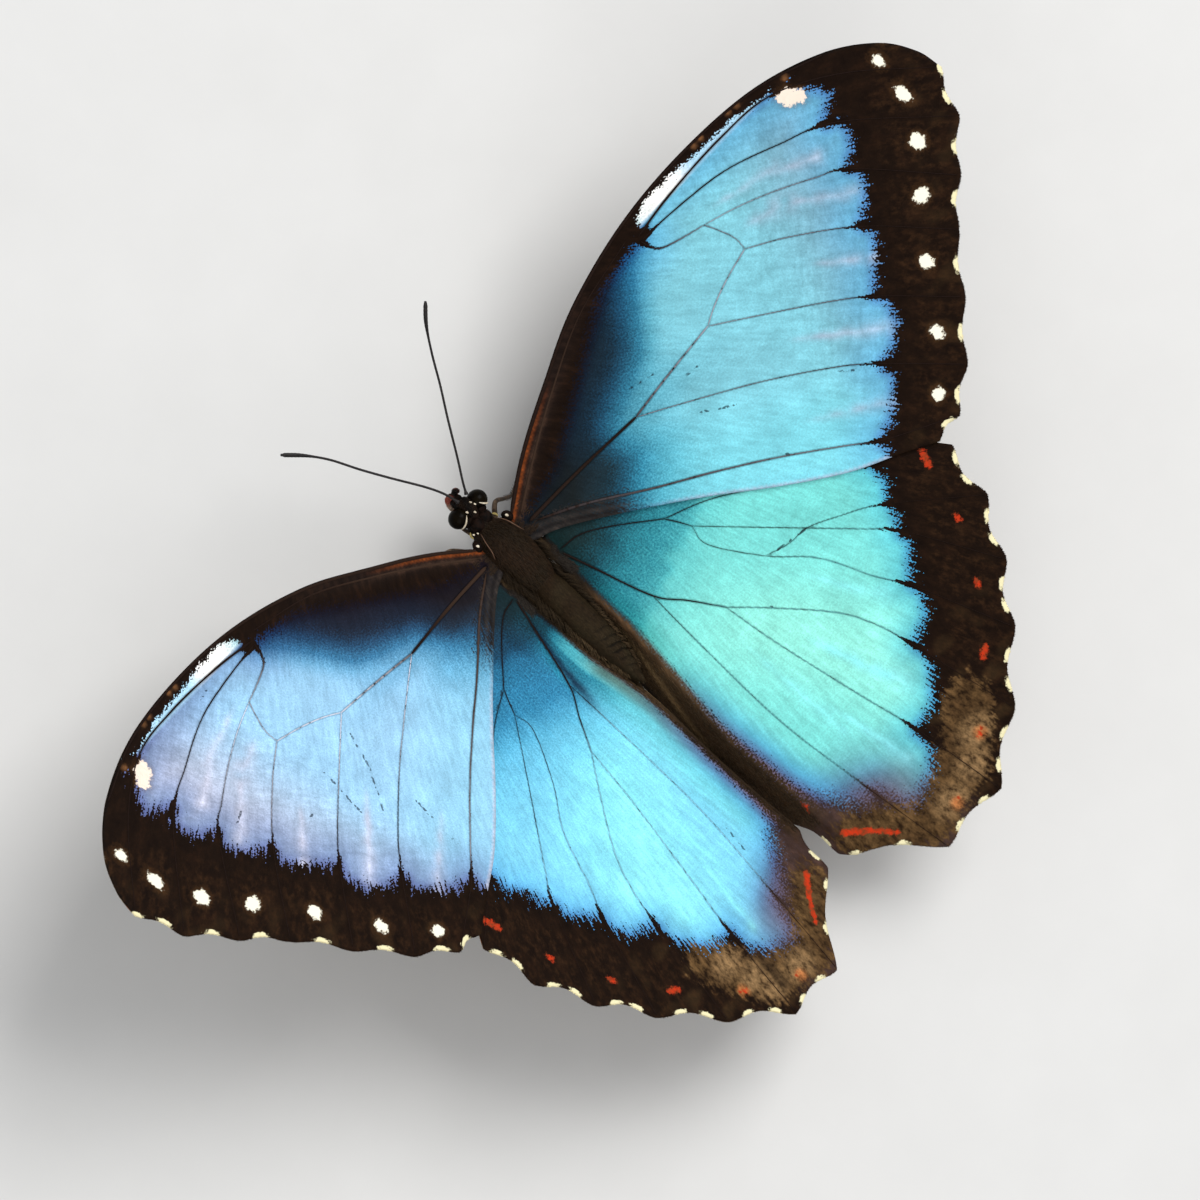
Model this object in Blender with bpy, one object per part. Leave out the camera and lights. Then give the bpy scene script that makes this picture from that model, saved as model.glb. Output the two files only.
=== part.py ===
"""Blue morpho butterfly (genus Morpho), life size, standing with its wings spread.

The head points along -Y, the butterfly's left is +X and up is +Z. Lengths below are in
millimetres and are turned into metres by MM where meshes are made. The finished model
stands on z = 0 with its origin under the middle of its bounding box.

A wing is drawn flat first: u runs outwards from the wing's hinge and v runs backwards.
The sheet is then tilted up by the dihedral, gently cambered, and on the hindwing folded
down along the abdomen.
"""
import math

import bmesh
import bpy
from mathutils import Vector
from mathutils.geometry import delaunay_2d_cdt

MM = 0.001

# Stance
HINGE_HEIGHT = 10.5
HINGE_HALF_SPAN = 3.44
DIHEDRAL = math.radians(22.5)

# Wings
WING_THICKNESS = 0.5
WING_CAMBER = 0.5
CAMBER_SPAN = 66.0
FOREWING_LIFT = 0.36
HINDWING_LIFT = -0.36
FOREWING_SCALLOP = 0.5
HINDWING_SCALLOP = 0.85
SCALLOP_STEPS = 7
CAMBER_SPACING = 6.0

FOREWING_COSTA = (
    (-0.7, -1.9), (5.0, -5.75), (12.0, -9.2), (20.0, -12.7), (30.0, -15.1), (40.0, -15.8),
    (50.0, -15.0), (58.0, -12.35), (63.0, -8.8), (65.3, -5.2), (65.9, -2.2),
)
FOREWING_VEIN_ENDS = {
    "R5": (65.9, -2.2), "M1": (63.5, 2.9), "M2": (59.1, 7.4), "M3": (54.8, 11.3),
    "CuA1": (50.1, 16.8), "CuA2": (45.1, 22.0), "2A": (40.6, 25.2), "tornus": (37.0, 25.6),
}
FOREWING_HIND_EDGE = (
    (37.0, 25.6), (33.5, 23.7), (28.0, 21.0), (22.0, 16.9), (15.0, 11.5), (7.5, 6.3),
    (2.0, 2.9), (-0.7, 1.6),
)

HINDWING_COSTA = (
    (-0.5, 2.3), (4.0, 1.6), (11.0, 3.9), (19.0, 8.9), (27.0, 15.4), (33.5, 21.3), (37.7, 26.8),
)
HINDWING_VEIN_ENDS = {
    "Rs": (37.7, 26.8), "M1": (36.5, 33.3), "M2": (33.0, 39.5), "M3": (28.4, 45.3),
    "CuA1": (22.1, 51.4), "CuA2": (14.8, 56.4), "2A": (6.4, 56.8), "3A": (-3.1, 49.0),
    "anal": (-5.2, 42.5),
}
HINDWING_INNER_EDGE = (
    (-5.2, 42.5), (-5.9, 34.0), (-5.9, 24.0), (-5.4, 14.0), (-3.2, 8.4), (-0.8, 5.8),
)

# Fold of the hindwing beside the abdomen. The fold line starts at "start", and drifts by
# "drift" for each millimetre behind "from_v", as far as "limit". The wall below it leans
# under the body by "lean" at the front and by "lean_behind" behind the abdomen.
FOLD = {
    "left": {"start": -0.5, "drift": -0.11, "from_v": 15.0, "limit": -4.2,
             "lean": math.radians(3), "lean_behind": math.radians(6)},
    "right": {"start": -0.35, "drift": -0.03, "from_v": 15.0, "limit": -0.9,
              "lean": math.radians(3), "lean_behind": math.radians(13)},
}
FOLD_RADIUS = 0.5
FOLD_ARC_STEPS = 3
LEAN_FROM_V = 16.0
LEAN_TO_V = 30.0

# Body cross-sections, front to back: (y, height of the centre above the hinge,
# half width, half height)
HEAD_SECTIONS = (
    (-7.05, -0.55, 0.50, 0.65), (-6.75, -0.45, 0.82, 1.10), (-6.10, -0.40, 0.92, 1.42),
    (-5.40, -0.45, 0.92, 1.42), (-4.95, -0.60, 0.85, 1.15), (-4.75, -0.70, 0.65, 0.85),
)
COLLAR_SECTIONS = (
    (-4.62, -0.95, 1.05, 1.10), (-4.25, -1.05, 1.40, 1.42), (-3.70, -1.15, 1.55, 1.60),
    (-3.20, -1.20, 1.55, 1.68), (-2.88, -1.25, 1.45, 1.60),
)
THORAX_SECTIONS = (
    (-2.74, -1.30, 1.75, 1.95), (-2.40, -1.30, 2.20, 2.30), (-1.50, -1.35, 2.62, 2.75),
    (-0.20, -1.40, 2.75, 3.00), (1.30, -1.40, 2.80, 3.08), (2.90, -1.40, 2.68, 2.98),
    (4.30, -1.35, 2.42, 2.65), (5.10, -1.25, 2.15, 2.30), (5.55, -1.20, 1.90, 2.00),
)
ABDOMEN_SECTIONS = (
    (5.70, -1.10, 1.70, 1.75), (7.20, -1.05, 1.98, 2.02), (10.0, -1.15, 2.06, 2.15),
    (13.0, -1.25, 1.98, 2.10), (15.0, -1.30, 1.82, 1.98), (17.0, -1.30, 1.50, 1.72),
    (18.8, -1.20, 1.04, 1.26), (20.2, -1.10, 0.57, 0.72), (20.9, -1.05, 0.26, 0.32),
)
ABDOMEN_FOLDS = (7.5, 9.5, 11.5, 13.5, 15.4, 17.0, 18.6)
ABDOMEN_FOLD_DEPTH = 0.05
ABDOMEN_FOLD_REACH = 0.3
BODY_SIDES = 20
BODY_SQUARENESS = 2.25

# Eyes: domes set against the flat sides of the head
EYE_CENTRE = (1.46, -5.65, -0.40)
EYE_RADII = (1.20, 1.15, 1.30)
EYE_INNER_SIDE = 1.02
EYE_RINGS = 10
EYE_SIDES = 20

# Feelers, legs and mouthparts: points of the left one as (x, y, height above the hinge)
# with a radius for each
ANTENNA_PATH = {
    "left": ((0.62, -6.85, 1.00), (1.10, -8.50, 1.35), (2.20, -10.6, 1.80), (4.45, -14.0, 2.60),
             (6.35, -17.0, 3.30), (8.10, -20.0, 4.00), (9.85, -22.2, 4.55), (11.8, -24.1, 5.00)),
    "right": ((0.62, -6.85, 1.00), (1.40, -8.25, 1.30), (2.75, -10.4, 1.75), (4.85, -14.0, 2.60),
              (6.70, -17.0, 3.30), (8.40, -20.0, 4.00), (10.1, -22.6, 4.65), (11.8, -24.4, 5.05)),
}
ANTENNA_RADII = (0.27, 0.25, 0.25, 0.25, 0.25, 0.26, 0.28, 0.25)
PALP_PATH = (
    (0.48, -6.30, -2.55), (0.52, -7.20, -2.30), (0.52, -7.85, -1.20), (0.46, -7.95, -0.20),
    (0.42, -7.80, 0.60),
)
PALP_RADII = (0.32, 0.38, 0.40, 0.36, 0.25)
FORELEG_PATH = ((0.80, -3.40, -3.35), (1.05, -4.60, -3.30), (1.20, -5.60, -2.95))
FORELEG_RADII = (0.30, 0.28, 0.25)
MIDLEG_PATH = (
    (1.00, -0.90, -4.66), (2.40, -2.50, -4.40), (3.90, -3.95, -4.20), (5.60, -3.50, -6.30),
    (7.20, -3.10, -8.70), (8.40, -3.30, -10.28), (10.7, -4.20, -10.28),
)
MIDLEG_RADII = (0.33, 0.36, 0.30, 0.28, 0.26, 0.28, 0.27)
HINDLEG_PATH = (
    (1.05, 2.50, -4.70), (2.80, 4.70, -4.55), (4.40, 6.70, -4.40), (5.60, 9.40, -6.50),
    (6.90, 12.3, -8.80), (7.60, 14.2, -10.28), (9.00, 16.9, -10.28),
)
HINDLEG_RADII = (0.33, 0.36, 0.30, 0.28, 0.26, 0.28, 0.27)
PROBOSCIS_CENTRE = (-5.55, -3.75)
PROBOSCIS_RADIUS = 0.85
PROBOSCIS_PITCH = 0.62
PROBOSCIS_TURNS = 1.2
PROBOSCIS_THICKNESS = 0.5
TUBE_SIDES = 8
PATH_STEPS = 3

# Finish of each kind of part: colour, roughness, metallic
FINISH = {
    "wing_blue_cyan": ((0.10, 0.50, 0.75), 0.35, 0.3),
    "wing_blue_aqua": ((0.13, 0.70, 0.72), 0.35, 0.3),
    "body_fur": ((0.045, 0.030, 0.018), 0.9, 0.0),
    "head_black": ((0.015, 0.010, 0.012), 0.7, 0.0),
    "eye_brown": ((0.030, 0.024, 0.012), 0.15, 0.0),
    "palp_pink": ((0.35, 0.12, 0.09), 0.8, 0.0),
    "feeler_black": ((0.010, 0.010, 0.010), 0.5, 0.0),
    "leg_brown": ((0.12, 0.07, 0.04), 0.6, 0.0),
}


def finish(name):
    """Material of one kind of part, made once."""
    if name in bpy.data.materials:
        return bpy.data.materials[name]
    colour, roughness, metallic = FINISH[name]
    material = bpy.data.materials.new(name)
    material.use_nodes = True
    shader = material.node_tree.nodes["Principled BSDF"]
    shader.inputs["Base Color"].default_value = (*colour, 1.0)
    shader.inputs["Roughness"].default_value = roughness
    shader.inputs["Metallic"].default_value = metallic
    return material


def add_object(name, verts, faces, finish_name):
    """A mesh object from points in millimetres, its faces pointing outwards."""
    mesh = bpy.data.meshes.new(name)
    mesh.from_pydata([Vector(v) * MM for v in verts], [], faces)
    work = bmesh.new()
    work.from_mesh(mesh)
    bmesh.ops.recalc_face_normals(work, faces=work.faces)
    work.to_mesh(mesh)
    work.free()
    mesh.shade_smooth()
    mesh.set_sharp_from_angle(angle=math.radians(40))
    obj = bpy.data.objects.new(name, mesh)
    obj.data.materials.append(finish(finish_name))
    bpy.context.scene.collection.objects.link(obj)
    return obj


def smooth_path(points, steps):
    """Catmull-Rom curve through the points, with this many steps from one to the next."""
    points = [Vector(p) for p in points]
    ends = [2 * points[0] - points[1]] + points + [2 * points[-1] - points[-2]]
    path = []
    for a, b, c, d in zip(ends, ends[1:], ends[2:], ends[3:]):
        for k in range(steps):
            t = k / steps
            path.append(0.5 * (2 * b + (c - a) * t + (2 * a - 5 * b + 4 * c - d) * t * t
                               + (3 * b - a - 3 * c + d) * t ** 3))
    return path + [points[-1]]


def scalloped_edge(vein_ends, depth):
    """Outer margin from vein end to vein end, each bay drawn in by depth at its middle."""
    edge = []
    ends = [Vector(p) for p in vein_ends.values()]
    for start, end in zip(ends, ends[1:]):
        along = end - start
        inward = Vector((-along.y, along.x)).normalized()
        for k in range(SCALLOP_STEPS):
            t = k / SCALLOP_STEPS
            edge.append(start + along * t + inward * depth * math.sin(math.pi * t) ** 2)
    return edge


def inside(point, outline):
    """Whether a flat point lies inside a closed outline."""
    crossings = 0
    for a, b in zip(outline, outline[1:] + outline[:1]):
        if (a.y > point.y) != (b.y > point.y):
            if point.x < a.x + (point.y - a.y) * (b.x - a.x) / (b.y - a.y):
                crossings += 1
    return crossings % 2 == 1


def fold_line(side, v):
    """Place of the hindwing's fold at v, on the flat wing."""
    fold = FOLD[side]
    return max(fold["limit"], fold["start"] + fold["drift"] * max(0.0, v - fold["from_v"]))


def fold_turn(side, v):
    """Angle through which the hindwing turns down at its fold."""
    fold = FOLD[side]
    t = min(1.0, max(0.0, (v - LEAN_FROM_V) / (LEAN_TO_V - LEAN_FROM_V)))
    lean = fold["lean"] + (fold["lean_behind"] - fold["lean"]) * t
    return math.pi / 2 - DIHEDRAL - lean


def wing_point(side, u, v, lift):
    """Point of the spread wing, lift above its sheet."""
    camber = WING_CAMBER * math.sin(math.pi * min(1.0, max(0.0, u / CAMBER_SPAN)))
    rise = lift + camber
    x = HINGE_HALF_SPAN + u * math.cos(DIHEDRAL) - rise * math.sin(DIHEDRAL)
    z = HINGE_HEIGHT + u * math.sin(DIHEDRAL) + rise * math.cos(DIHEDRAL)
    return Vector((x if side == "left" else -x, v, z))


def folded_point(side, past, v, lift):
    """Point of the hindwing, past its fold line (positive) or outside it (negative)."""
    fold = fold_line(side, v)
    if past <= 0:
        return wing_point(side, fold - past, v, lift)
    turn = fold_turn(side, v)
    bend = min(turn, past / FOLD_RADIUS)
    straight = past - FOLD_RADIUS * bend
    run = FOLD_RADIUS * math.sin(bend) + straight * math.cos(bend)
    drop = FOLD_RADIUS * (1 - math.cos(bend)) + straight * math.sin(bend)
    return wing_point(side, fold - run, v, lift - drop)


def wing_plate(name, outline, rows, place, finish_name):
    """Plate of even thickness over an outline, with extra points in rows for its curves."""
    flat = list(outline)
    for point in rows:
        gap = min((point - edge).length for edge in outline)
        if inside(point, outline) and gap > 0.5 * WING_THICKNESS:
            flat.append(point)
    rim = [(k, (k + 1) % len(outline)) for k in range(len(outline))]
    points, _, faces, *_ = delaunay_2d_cdt(flat, rim, [], 1, 1e-4)
    half = WING_THICKNESS / 2
    top = [place(p.x, p.y, half) for p in points]
    bottom = [place(p.x, p.y, -half) for p in points]
    count = len(points)
    shell = [tuple(f) for f in faces] + [tuple(k + count for k in reversed(f)) for f in faces]
    uses = {}
    for face in faces:
        for a, b in zip(face, list(face[1:]) + [face[0]]):
            uses[(a, b)] = uses.get((a, b), 0) + 1
    for a, b in uses:
        if (b, a) not in uses:
            shell.append((b, a, a + count, b + count))
    return add_object(name, top + bottom, shell, finish_name)


def forewing(side):
    """One forewing, lying over the hindwing."""
    outline = smooth_path(FOREWING_COSTA, 4)[:-1]
    outline += scalloped_edge(FOREWING_VEIN_ENDS, FOREWING_SCALLOP)
    outline += smooth_path(FOREWING_HIND_EDGE, 3)
    rows = [Vector((CAMBER_SPACING * i, CAMBER_SPACING * j))
            for i in range(1, 11) for j in range(-3, 5)]

    def place(u, v, across):
        return wing_point(side, u, v, FOREWING_LIFT + across)

    wing_plate("forewing_" + side, outline, rows, place, "wing_blue_cyan")


def hindwing(side):
    """One hindwing, with its inner part folded down beside the abdomen."""
    outline = smooth_path(HINDWING_COSTA, 3)[:-1]
    outline += scalloped_edge(HINDWING_VEIN_ENDS, HINDWING_SCALLOP)
    outline += smooth_path(HINDWING_INNER_EDGE, 4)
    # The sheet is triangulated with its fold line straight, so that bends follow it.
    straight = [Vector((p.x - fold_line(side, p.y), p.y)) for p in outline]
    turn = FOLD_RADIUS * (math.pi / 2 - DIHEDRAL)
    rows = []
    for j in range(2, 19):
        v = 3.0 * j
        rows += [Vector((-turn * k / FOLD_ARC_STEPS, v)) for k in range(FOLD_ARC_STEPS + 1)]
        rows += [Vector((CAMBER_SPACING * i, v)) for i in range(1, 7) if j % 2 == 0]

    def place(outward, v, across):
        # The thickness is laid across the sheet as it turns, about its middle line.
        here = folded_point(side, -outward, v, HINDWING_LIFT)
        ahead = folded_point(side, -outward - 0.01, v, HINDWING_LIFT)
        away = (here - ahead).normalized()
        across_way = Vector((-away.z, 0, away.x)) if side == "left" else Vector((away.z, 0, -away.x))
        return here + across_way * across

    wing_plate("hindwing_" + side, straight, rows, place, "wing_blue_aqua")


def ring(centre, half_width, half_height, sides):
    """Rounded cross-section of the body, across Y."""
    points = []
    for k in range(sides):
        angle = 2 * math.pi * k / sides
        c, s = math.cos(angle), math.sin(angle)
        x = half_width * math.copysign(abs(c) ** (2 / BODY_SQUARENESS), c)
        z = half_height * math.copysign(abs(s) ** (2 / BODY_SQUARENESS), s)
        points.append(centre + Vector((x, 0, z)))
    return points


def bridge(rings):
    """Faces that join rings of equal size and close both ends."""
    sides = len(rings[0])
    faces = [tuple(range(sides))]
    for r in range(len(rings) - 1):
        for k in range(sides):
            a, b = r * sides + k, r * sides + (k + 1) % sides
            faces.append((a, b, b + sides, a + sides))
    last = (len(rings) - 1) * sides
    faces.append(tuple(last + k for k in reversed(range(sides))))
    return faces


def body_part(name, sections, steps, finish_name, narrowing=None):
    """Part of the body lofted through its cross-sections, narrowed where segments fold in."""
    stations = smooth_path([Vector(s) for s in sections], steps)
    rings = []
    for y, height, half_width, half_height in stations:
        scale = 1 - narrowing(y) if narrowing else 1
        centre = Vector((0, y, HINGE_HEIGHT + height))
        rings.append(ring(centre, half_width * scale, half_height * scale, BODY_SIDES))
    return add_object(name, [p for r in rings for p in r], bridge(rings), finish_name)


def abdomen_narrowing(y):
    """Share by which the abdomen narrows at the folds between its segments."""
    nearest = min(abs(y - fold) for fold in ABDOMEN_FOLDS)
    return ABDOMEN_FOLD_DEPTH * max(0.0, 1 - nearest / ABDOMEN_FOLD_REACH)


def eye(side):
    """Domed compound eye, flat where it meets the head."""
    sign = 1 if side == "left" else -1
    centre = Vector(EYE_CENTRE)
    start = math.acos((EYE_INNER_SIDE - centre.x) / EYE_RADII[0])
    rings = []
    for r in range(EYE_RINGS):
        angle = start * (1 - r / EYE_RINGS)
        x = centre.x + EYE_RADII[0] * math.cos(angle)
        points = []
        for k in range(EYE_SIDES):
            turn = 2 * math.pi * k / EYE_SIDES
            y = centre.y + EYE_RADII[1] * math.sin(angle) * math.cos(turn)
            z = HINGE_HEIGHT + centre.z + EYE_RADII[2] * math.sin(angle) * math.sin(turn)
            points.append(Vector((sign * x, y, z)))
        rings.append(points)
    add_object("eye_" + side, [p for r in rings for p in r], bridge(rings), "eye_brown")


def tube(name, path, radii, finish_name):
    """Round tube along a path, tapered, with rounded ends, and flat where it meets the floor."""
    rings = []
    normal = Vector((0, 0, 1))
    count = len(path)
    for i, point in enumerate(path):
        along = (path[min(i + 1, count - 1)] - path[max(i - 1, 0)]).normalized()
        normal = (normal - along * normal.dot(along)).normalized()
        cross = along.cross(normal)
        stations = [(point, radii[i])]
        if i == 0:
            stations.insert(0, (point - along * 0.7 * radii[i], 0.6 * radii[i]))
        if i == count - 1:
            stations.append((point + along * 0.7 * radii[i], 0.6 * radii[i]))
        for centre, radius in stations:
            points = []
            for k in range(TUBE_SIDES):
                angle = 2 * math.pi * (k + 0.5) / TUBE_SIDES
                offset = normal * math.cos(angle) + cross * math.sin(angle)
                corner = centre + offset * radius
                points.append(Vector((corner.x, corner.y, max(0.0, corner.z))))
            rings.append(points)
    add_object(name, [p for r in rings for p in r], bridge(rings), finish_name)


def limb(name, side, points, radii, finish_name):
    """Leg, feeler or palp of one side, from the points of the left one."""
    sign = 1 if side == "left" else -1
    placed = [Vector((sign * x, y, HINGE_HEIGHT + z, r)) for (x, y, z), r in zip(points, radii)]
    path = smooth_path(placed, PATH_STEPS)
    tube(name + "_" + side, [p.to_3d() for p in path], [p.w for p in path], finish_name)


def proboscis():
    """Coiled tongue, a flat spiral under the head."""
    y, height = PROBOSCIS_CENTRE
    path = []
    steps = round(16 * PROBOSCIS_TURNS)
    for k in range(steps + 1):
        turns = PROBOSCIS_TURNS * k / steps
        radius = PROBOSCIS_RADIUS - PROBOSCIS_PITCH * turns
        angle = math.radians(70) + 2 * math.pi * turns
        path.append(Vector((0, y + radius * math.cos(angle),
                            HINGE_HEIGHT + height + radius * math.sin(angle))))
    tube("proboscis", path, [PROBOSCIS_THICKNESS / 2] * len(path), "leg_brown")


def rest_on_origin():
    """Parent every part to an empty that puts the origin under the middle of the whole."""
    parts = [o for o in bpy.context.scene.objects if o.type == "MESH"]
    corners = [v.co for o in parts for v in o.data.vertices]
    low = [min(c[i] for c in corners) for i in range(3)]
    high = [max(c[i] for c in corners) for i in range(3)]
    butterfly = bpy.data.objects.new("butterfly", None)
    bpy.context.scene.collection.objects.link(butterfly)
    butterfly.location = (-(low[0] + high[0]) / 2, -(low[1] + high[1]) / 2, -low[2])
    for part in parts:
        part.parent = butterfly


def main():
    for obj in list(bpy.data.objects):
        bpy.data.objects.remove(obj, do_unlink=True)
    body_part("head", HEAD_SECTIONS, 2, "head_black")
    body_part("collar", COLLAR_SECTIONS, 2, "head_black")
    body_part("thorax", THORAX_SECTIONS, 2, "body_fur")
    body_part("abdomen", ABDOMEN_SECTIONS, 5, "body_fur", abdomen_narrowing)
    proboscis()
    for side in ("left", "right"):
        eye(side)
        limb("palp", side, PALP_PATH, PALP_RADII, "palp_pink")
        limb("antenna", side, ANTENNA_PATH[side], ANTENNA_RADII, "feeler_black")
        limb("foreleg", side, FORELEG_PATH, FORELEG_RADII, "leg_brown")
        limb("midleg", side, MIDLEG_PATH, MIDLEG_RADII, "leg_brown")
        limb("hindleg", side, HINDLEG_PATH, HINDLEG_RADII, "leg_brown")
        forewing(side)
        hindwing(side)
    rest_on_origin()


main()
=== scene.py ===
"""Looks of a life-size blue morpho butterfly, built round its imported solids.

Lengths are in millimetres until a mesh is made. The head points along -Y, the butterfly's
left is +X and up is +Z. A wing is drawn flat first: u runs outwards from its hinge and v runs
backwards. Distances to veins, margins and markings are worked out at each point of the flat
wing and kept as mesh attributes, from which the materials draw crisp edges.
"""

import math

import bmesh
import bpy
import numpy as np
from mathutils import Matrix, Vector
from mathutils.geometry import delaunay_2d_cdt


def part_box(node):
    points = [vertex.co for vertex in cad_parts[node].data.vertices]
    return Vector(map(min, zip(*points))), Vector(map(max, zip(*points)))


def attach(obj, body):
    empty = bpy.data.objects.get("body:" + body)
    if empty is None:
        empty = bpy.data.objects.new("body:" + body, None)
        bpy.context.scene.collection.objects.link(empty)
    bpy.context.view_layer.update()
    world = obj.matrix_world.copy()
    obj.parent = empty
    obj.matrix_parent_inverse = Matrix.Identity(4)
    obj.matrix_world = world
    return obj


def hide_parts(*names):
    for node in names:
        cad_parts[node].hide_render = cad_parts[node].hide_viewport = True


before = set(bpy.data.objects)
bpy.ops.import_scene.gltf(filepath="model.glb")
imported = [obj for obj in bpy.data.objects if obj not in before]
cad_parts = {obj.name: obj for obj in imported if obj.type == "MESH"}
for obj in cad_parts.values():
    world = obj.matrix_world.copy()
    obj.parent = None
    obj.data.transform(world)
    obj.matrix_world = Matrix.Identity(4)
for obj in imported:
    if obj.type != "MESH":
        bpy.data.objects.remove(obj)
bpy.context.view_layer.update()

MM = 0.001
SIDES = {"left": 1.0, "right": -1.0}
CURVE_STEPS = 8

# Places that the solids give
HINGE_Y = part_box("thorax")[0].y / MM + 2.74
HINGE_HEIGHT = 10.5
HINGE_HALF_SPAN = 3.44
DIHEDRAL = math.radians(22.5)

FLOOR_HALF = 3  # metres

# Camera: where it looks, in mm, and from which side
CAMERA_TARGET = (-1.40, -4.92, 15.0)
CAMERA_AZIMUTH = math.radians(-6.94)
CAMERA_ELEVATION = math.radians(72.11)
CAMERA_ROLL = math.radians(50.53)
CAMERA_DISTANCE = 878.1
CAMERA_SENSOR = 36.0
CAMERA_LENS_PER_SENSOR = 6.85

# Wings
WING_CAMBER = 0.5
CAMBER_SPAN = 66.0
# Height of each wing's middle sheet over the hinge plane
SKIN_LIFT = {"fore": 0.30, "hind": -0.26}
# Half the thickness of a wing, and how fine its visible and its inner face are
SKIN_HALF = 0.10
LATTICE = 0.30
COARSE_LATTICE = 4.0
NORMAL_STEP = 0.02

FOREWING_COSTA = (
    (-1.3, -1.6), (5.0, -5.75), (12.0, -9.2), (20.0, -12.7), (30.0, -15.1), (40.0, -15.8),
    (50.0, -15.0), (58.0, -12.35), (63.0, -8.8), (65.3, -5.2), (65.9, -2.2),
)
FOREWING_VEIN_ENDS = (
    (65.9, -2.2), (63.5, 2.9), (59.1, 7.4), (54.8, 11.3), (50.1, 16.8), (45.1, 22.0),
    (40.6, 25.2), (37.0, 25.6),
)
FOREWING_HIND_EDGE = (
    (37.0, 25.6), (33.5, 23.7), (28.0, 21.0), (22.0, 16.9), (15.0, 11.5), (7.5, 6.3),
    (2.0, 2.9), (-1.3, 1.7),
)
HINDWING_COSTA = (
    (-1.0, 2.5), (4.0, 1.6), (11.0, 3.9), (19.0, 8.9), (27.0, 15.4), (33.5, 21.3), (37.7, 26.8),
)
HINDWING_VEIN_ENDS = (
    (37.7, 26.8), (36.5, 33.3), (33.0, 39.5), (28.4, 45.3), (22.1, 51.4), (14.8, 56.4),
    (6.4, 56.8), (-3.1, 49.0), (-5.2, 42.5),
)
HINDWING_INNER_EDGE = (
    (-5.2, 42.5), (-5.9, 34.0), (-5.9, 24.0), (-5.4, 14.0), (-3.2, 8.4), (-1.0, 5.6),
)
# How far each bay of the outer margin is drawn in between two veins
SCALLOP = {"fore": 0.5, "hind": 0.85}

# Fold of each hindwing beside the abdomen, and how its wall leans and bulges
FOLD = {
    "left": {"start": -0.7, "drift": -0.11, "from_v": 15.0, "limit": -4.2,
             "lean": math.radians(3), "lean_behind": math.radians(22),
             "bulge": 1.30, "bulge_v": 22.0, "bulge_reach": 9.0},
    "right": {"start": -0.45, "drift": -0.03, "from_v": 15.0, "limit": -0.9,
              "lean": math.radians(4), "lean_behind": math.radians(21),
              "bulge": 0.7, "bulge_v": 31.0, "bulge_reach": 8.0},
}
FOLD_RADIUS = 0.5
LEAN_FROM_V = 14.5
LEAN_TO_V = 21.0

# Run of the scales: the place that they fan out from, and how wide apart their rows lie
SCALE_FAN = {"fore": ((-20.0, -50.0), 70.0), "hind": ((6.0, -14.0), 50.0)}

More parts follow.
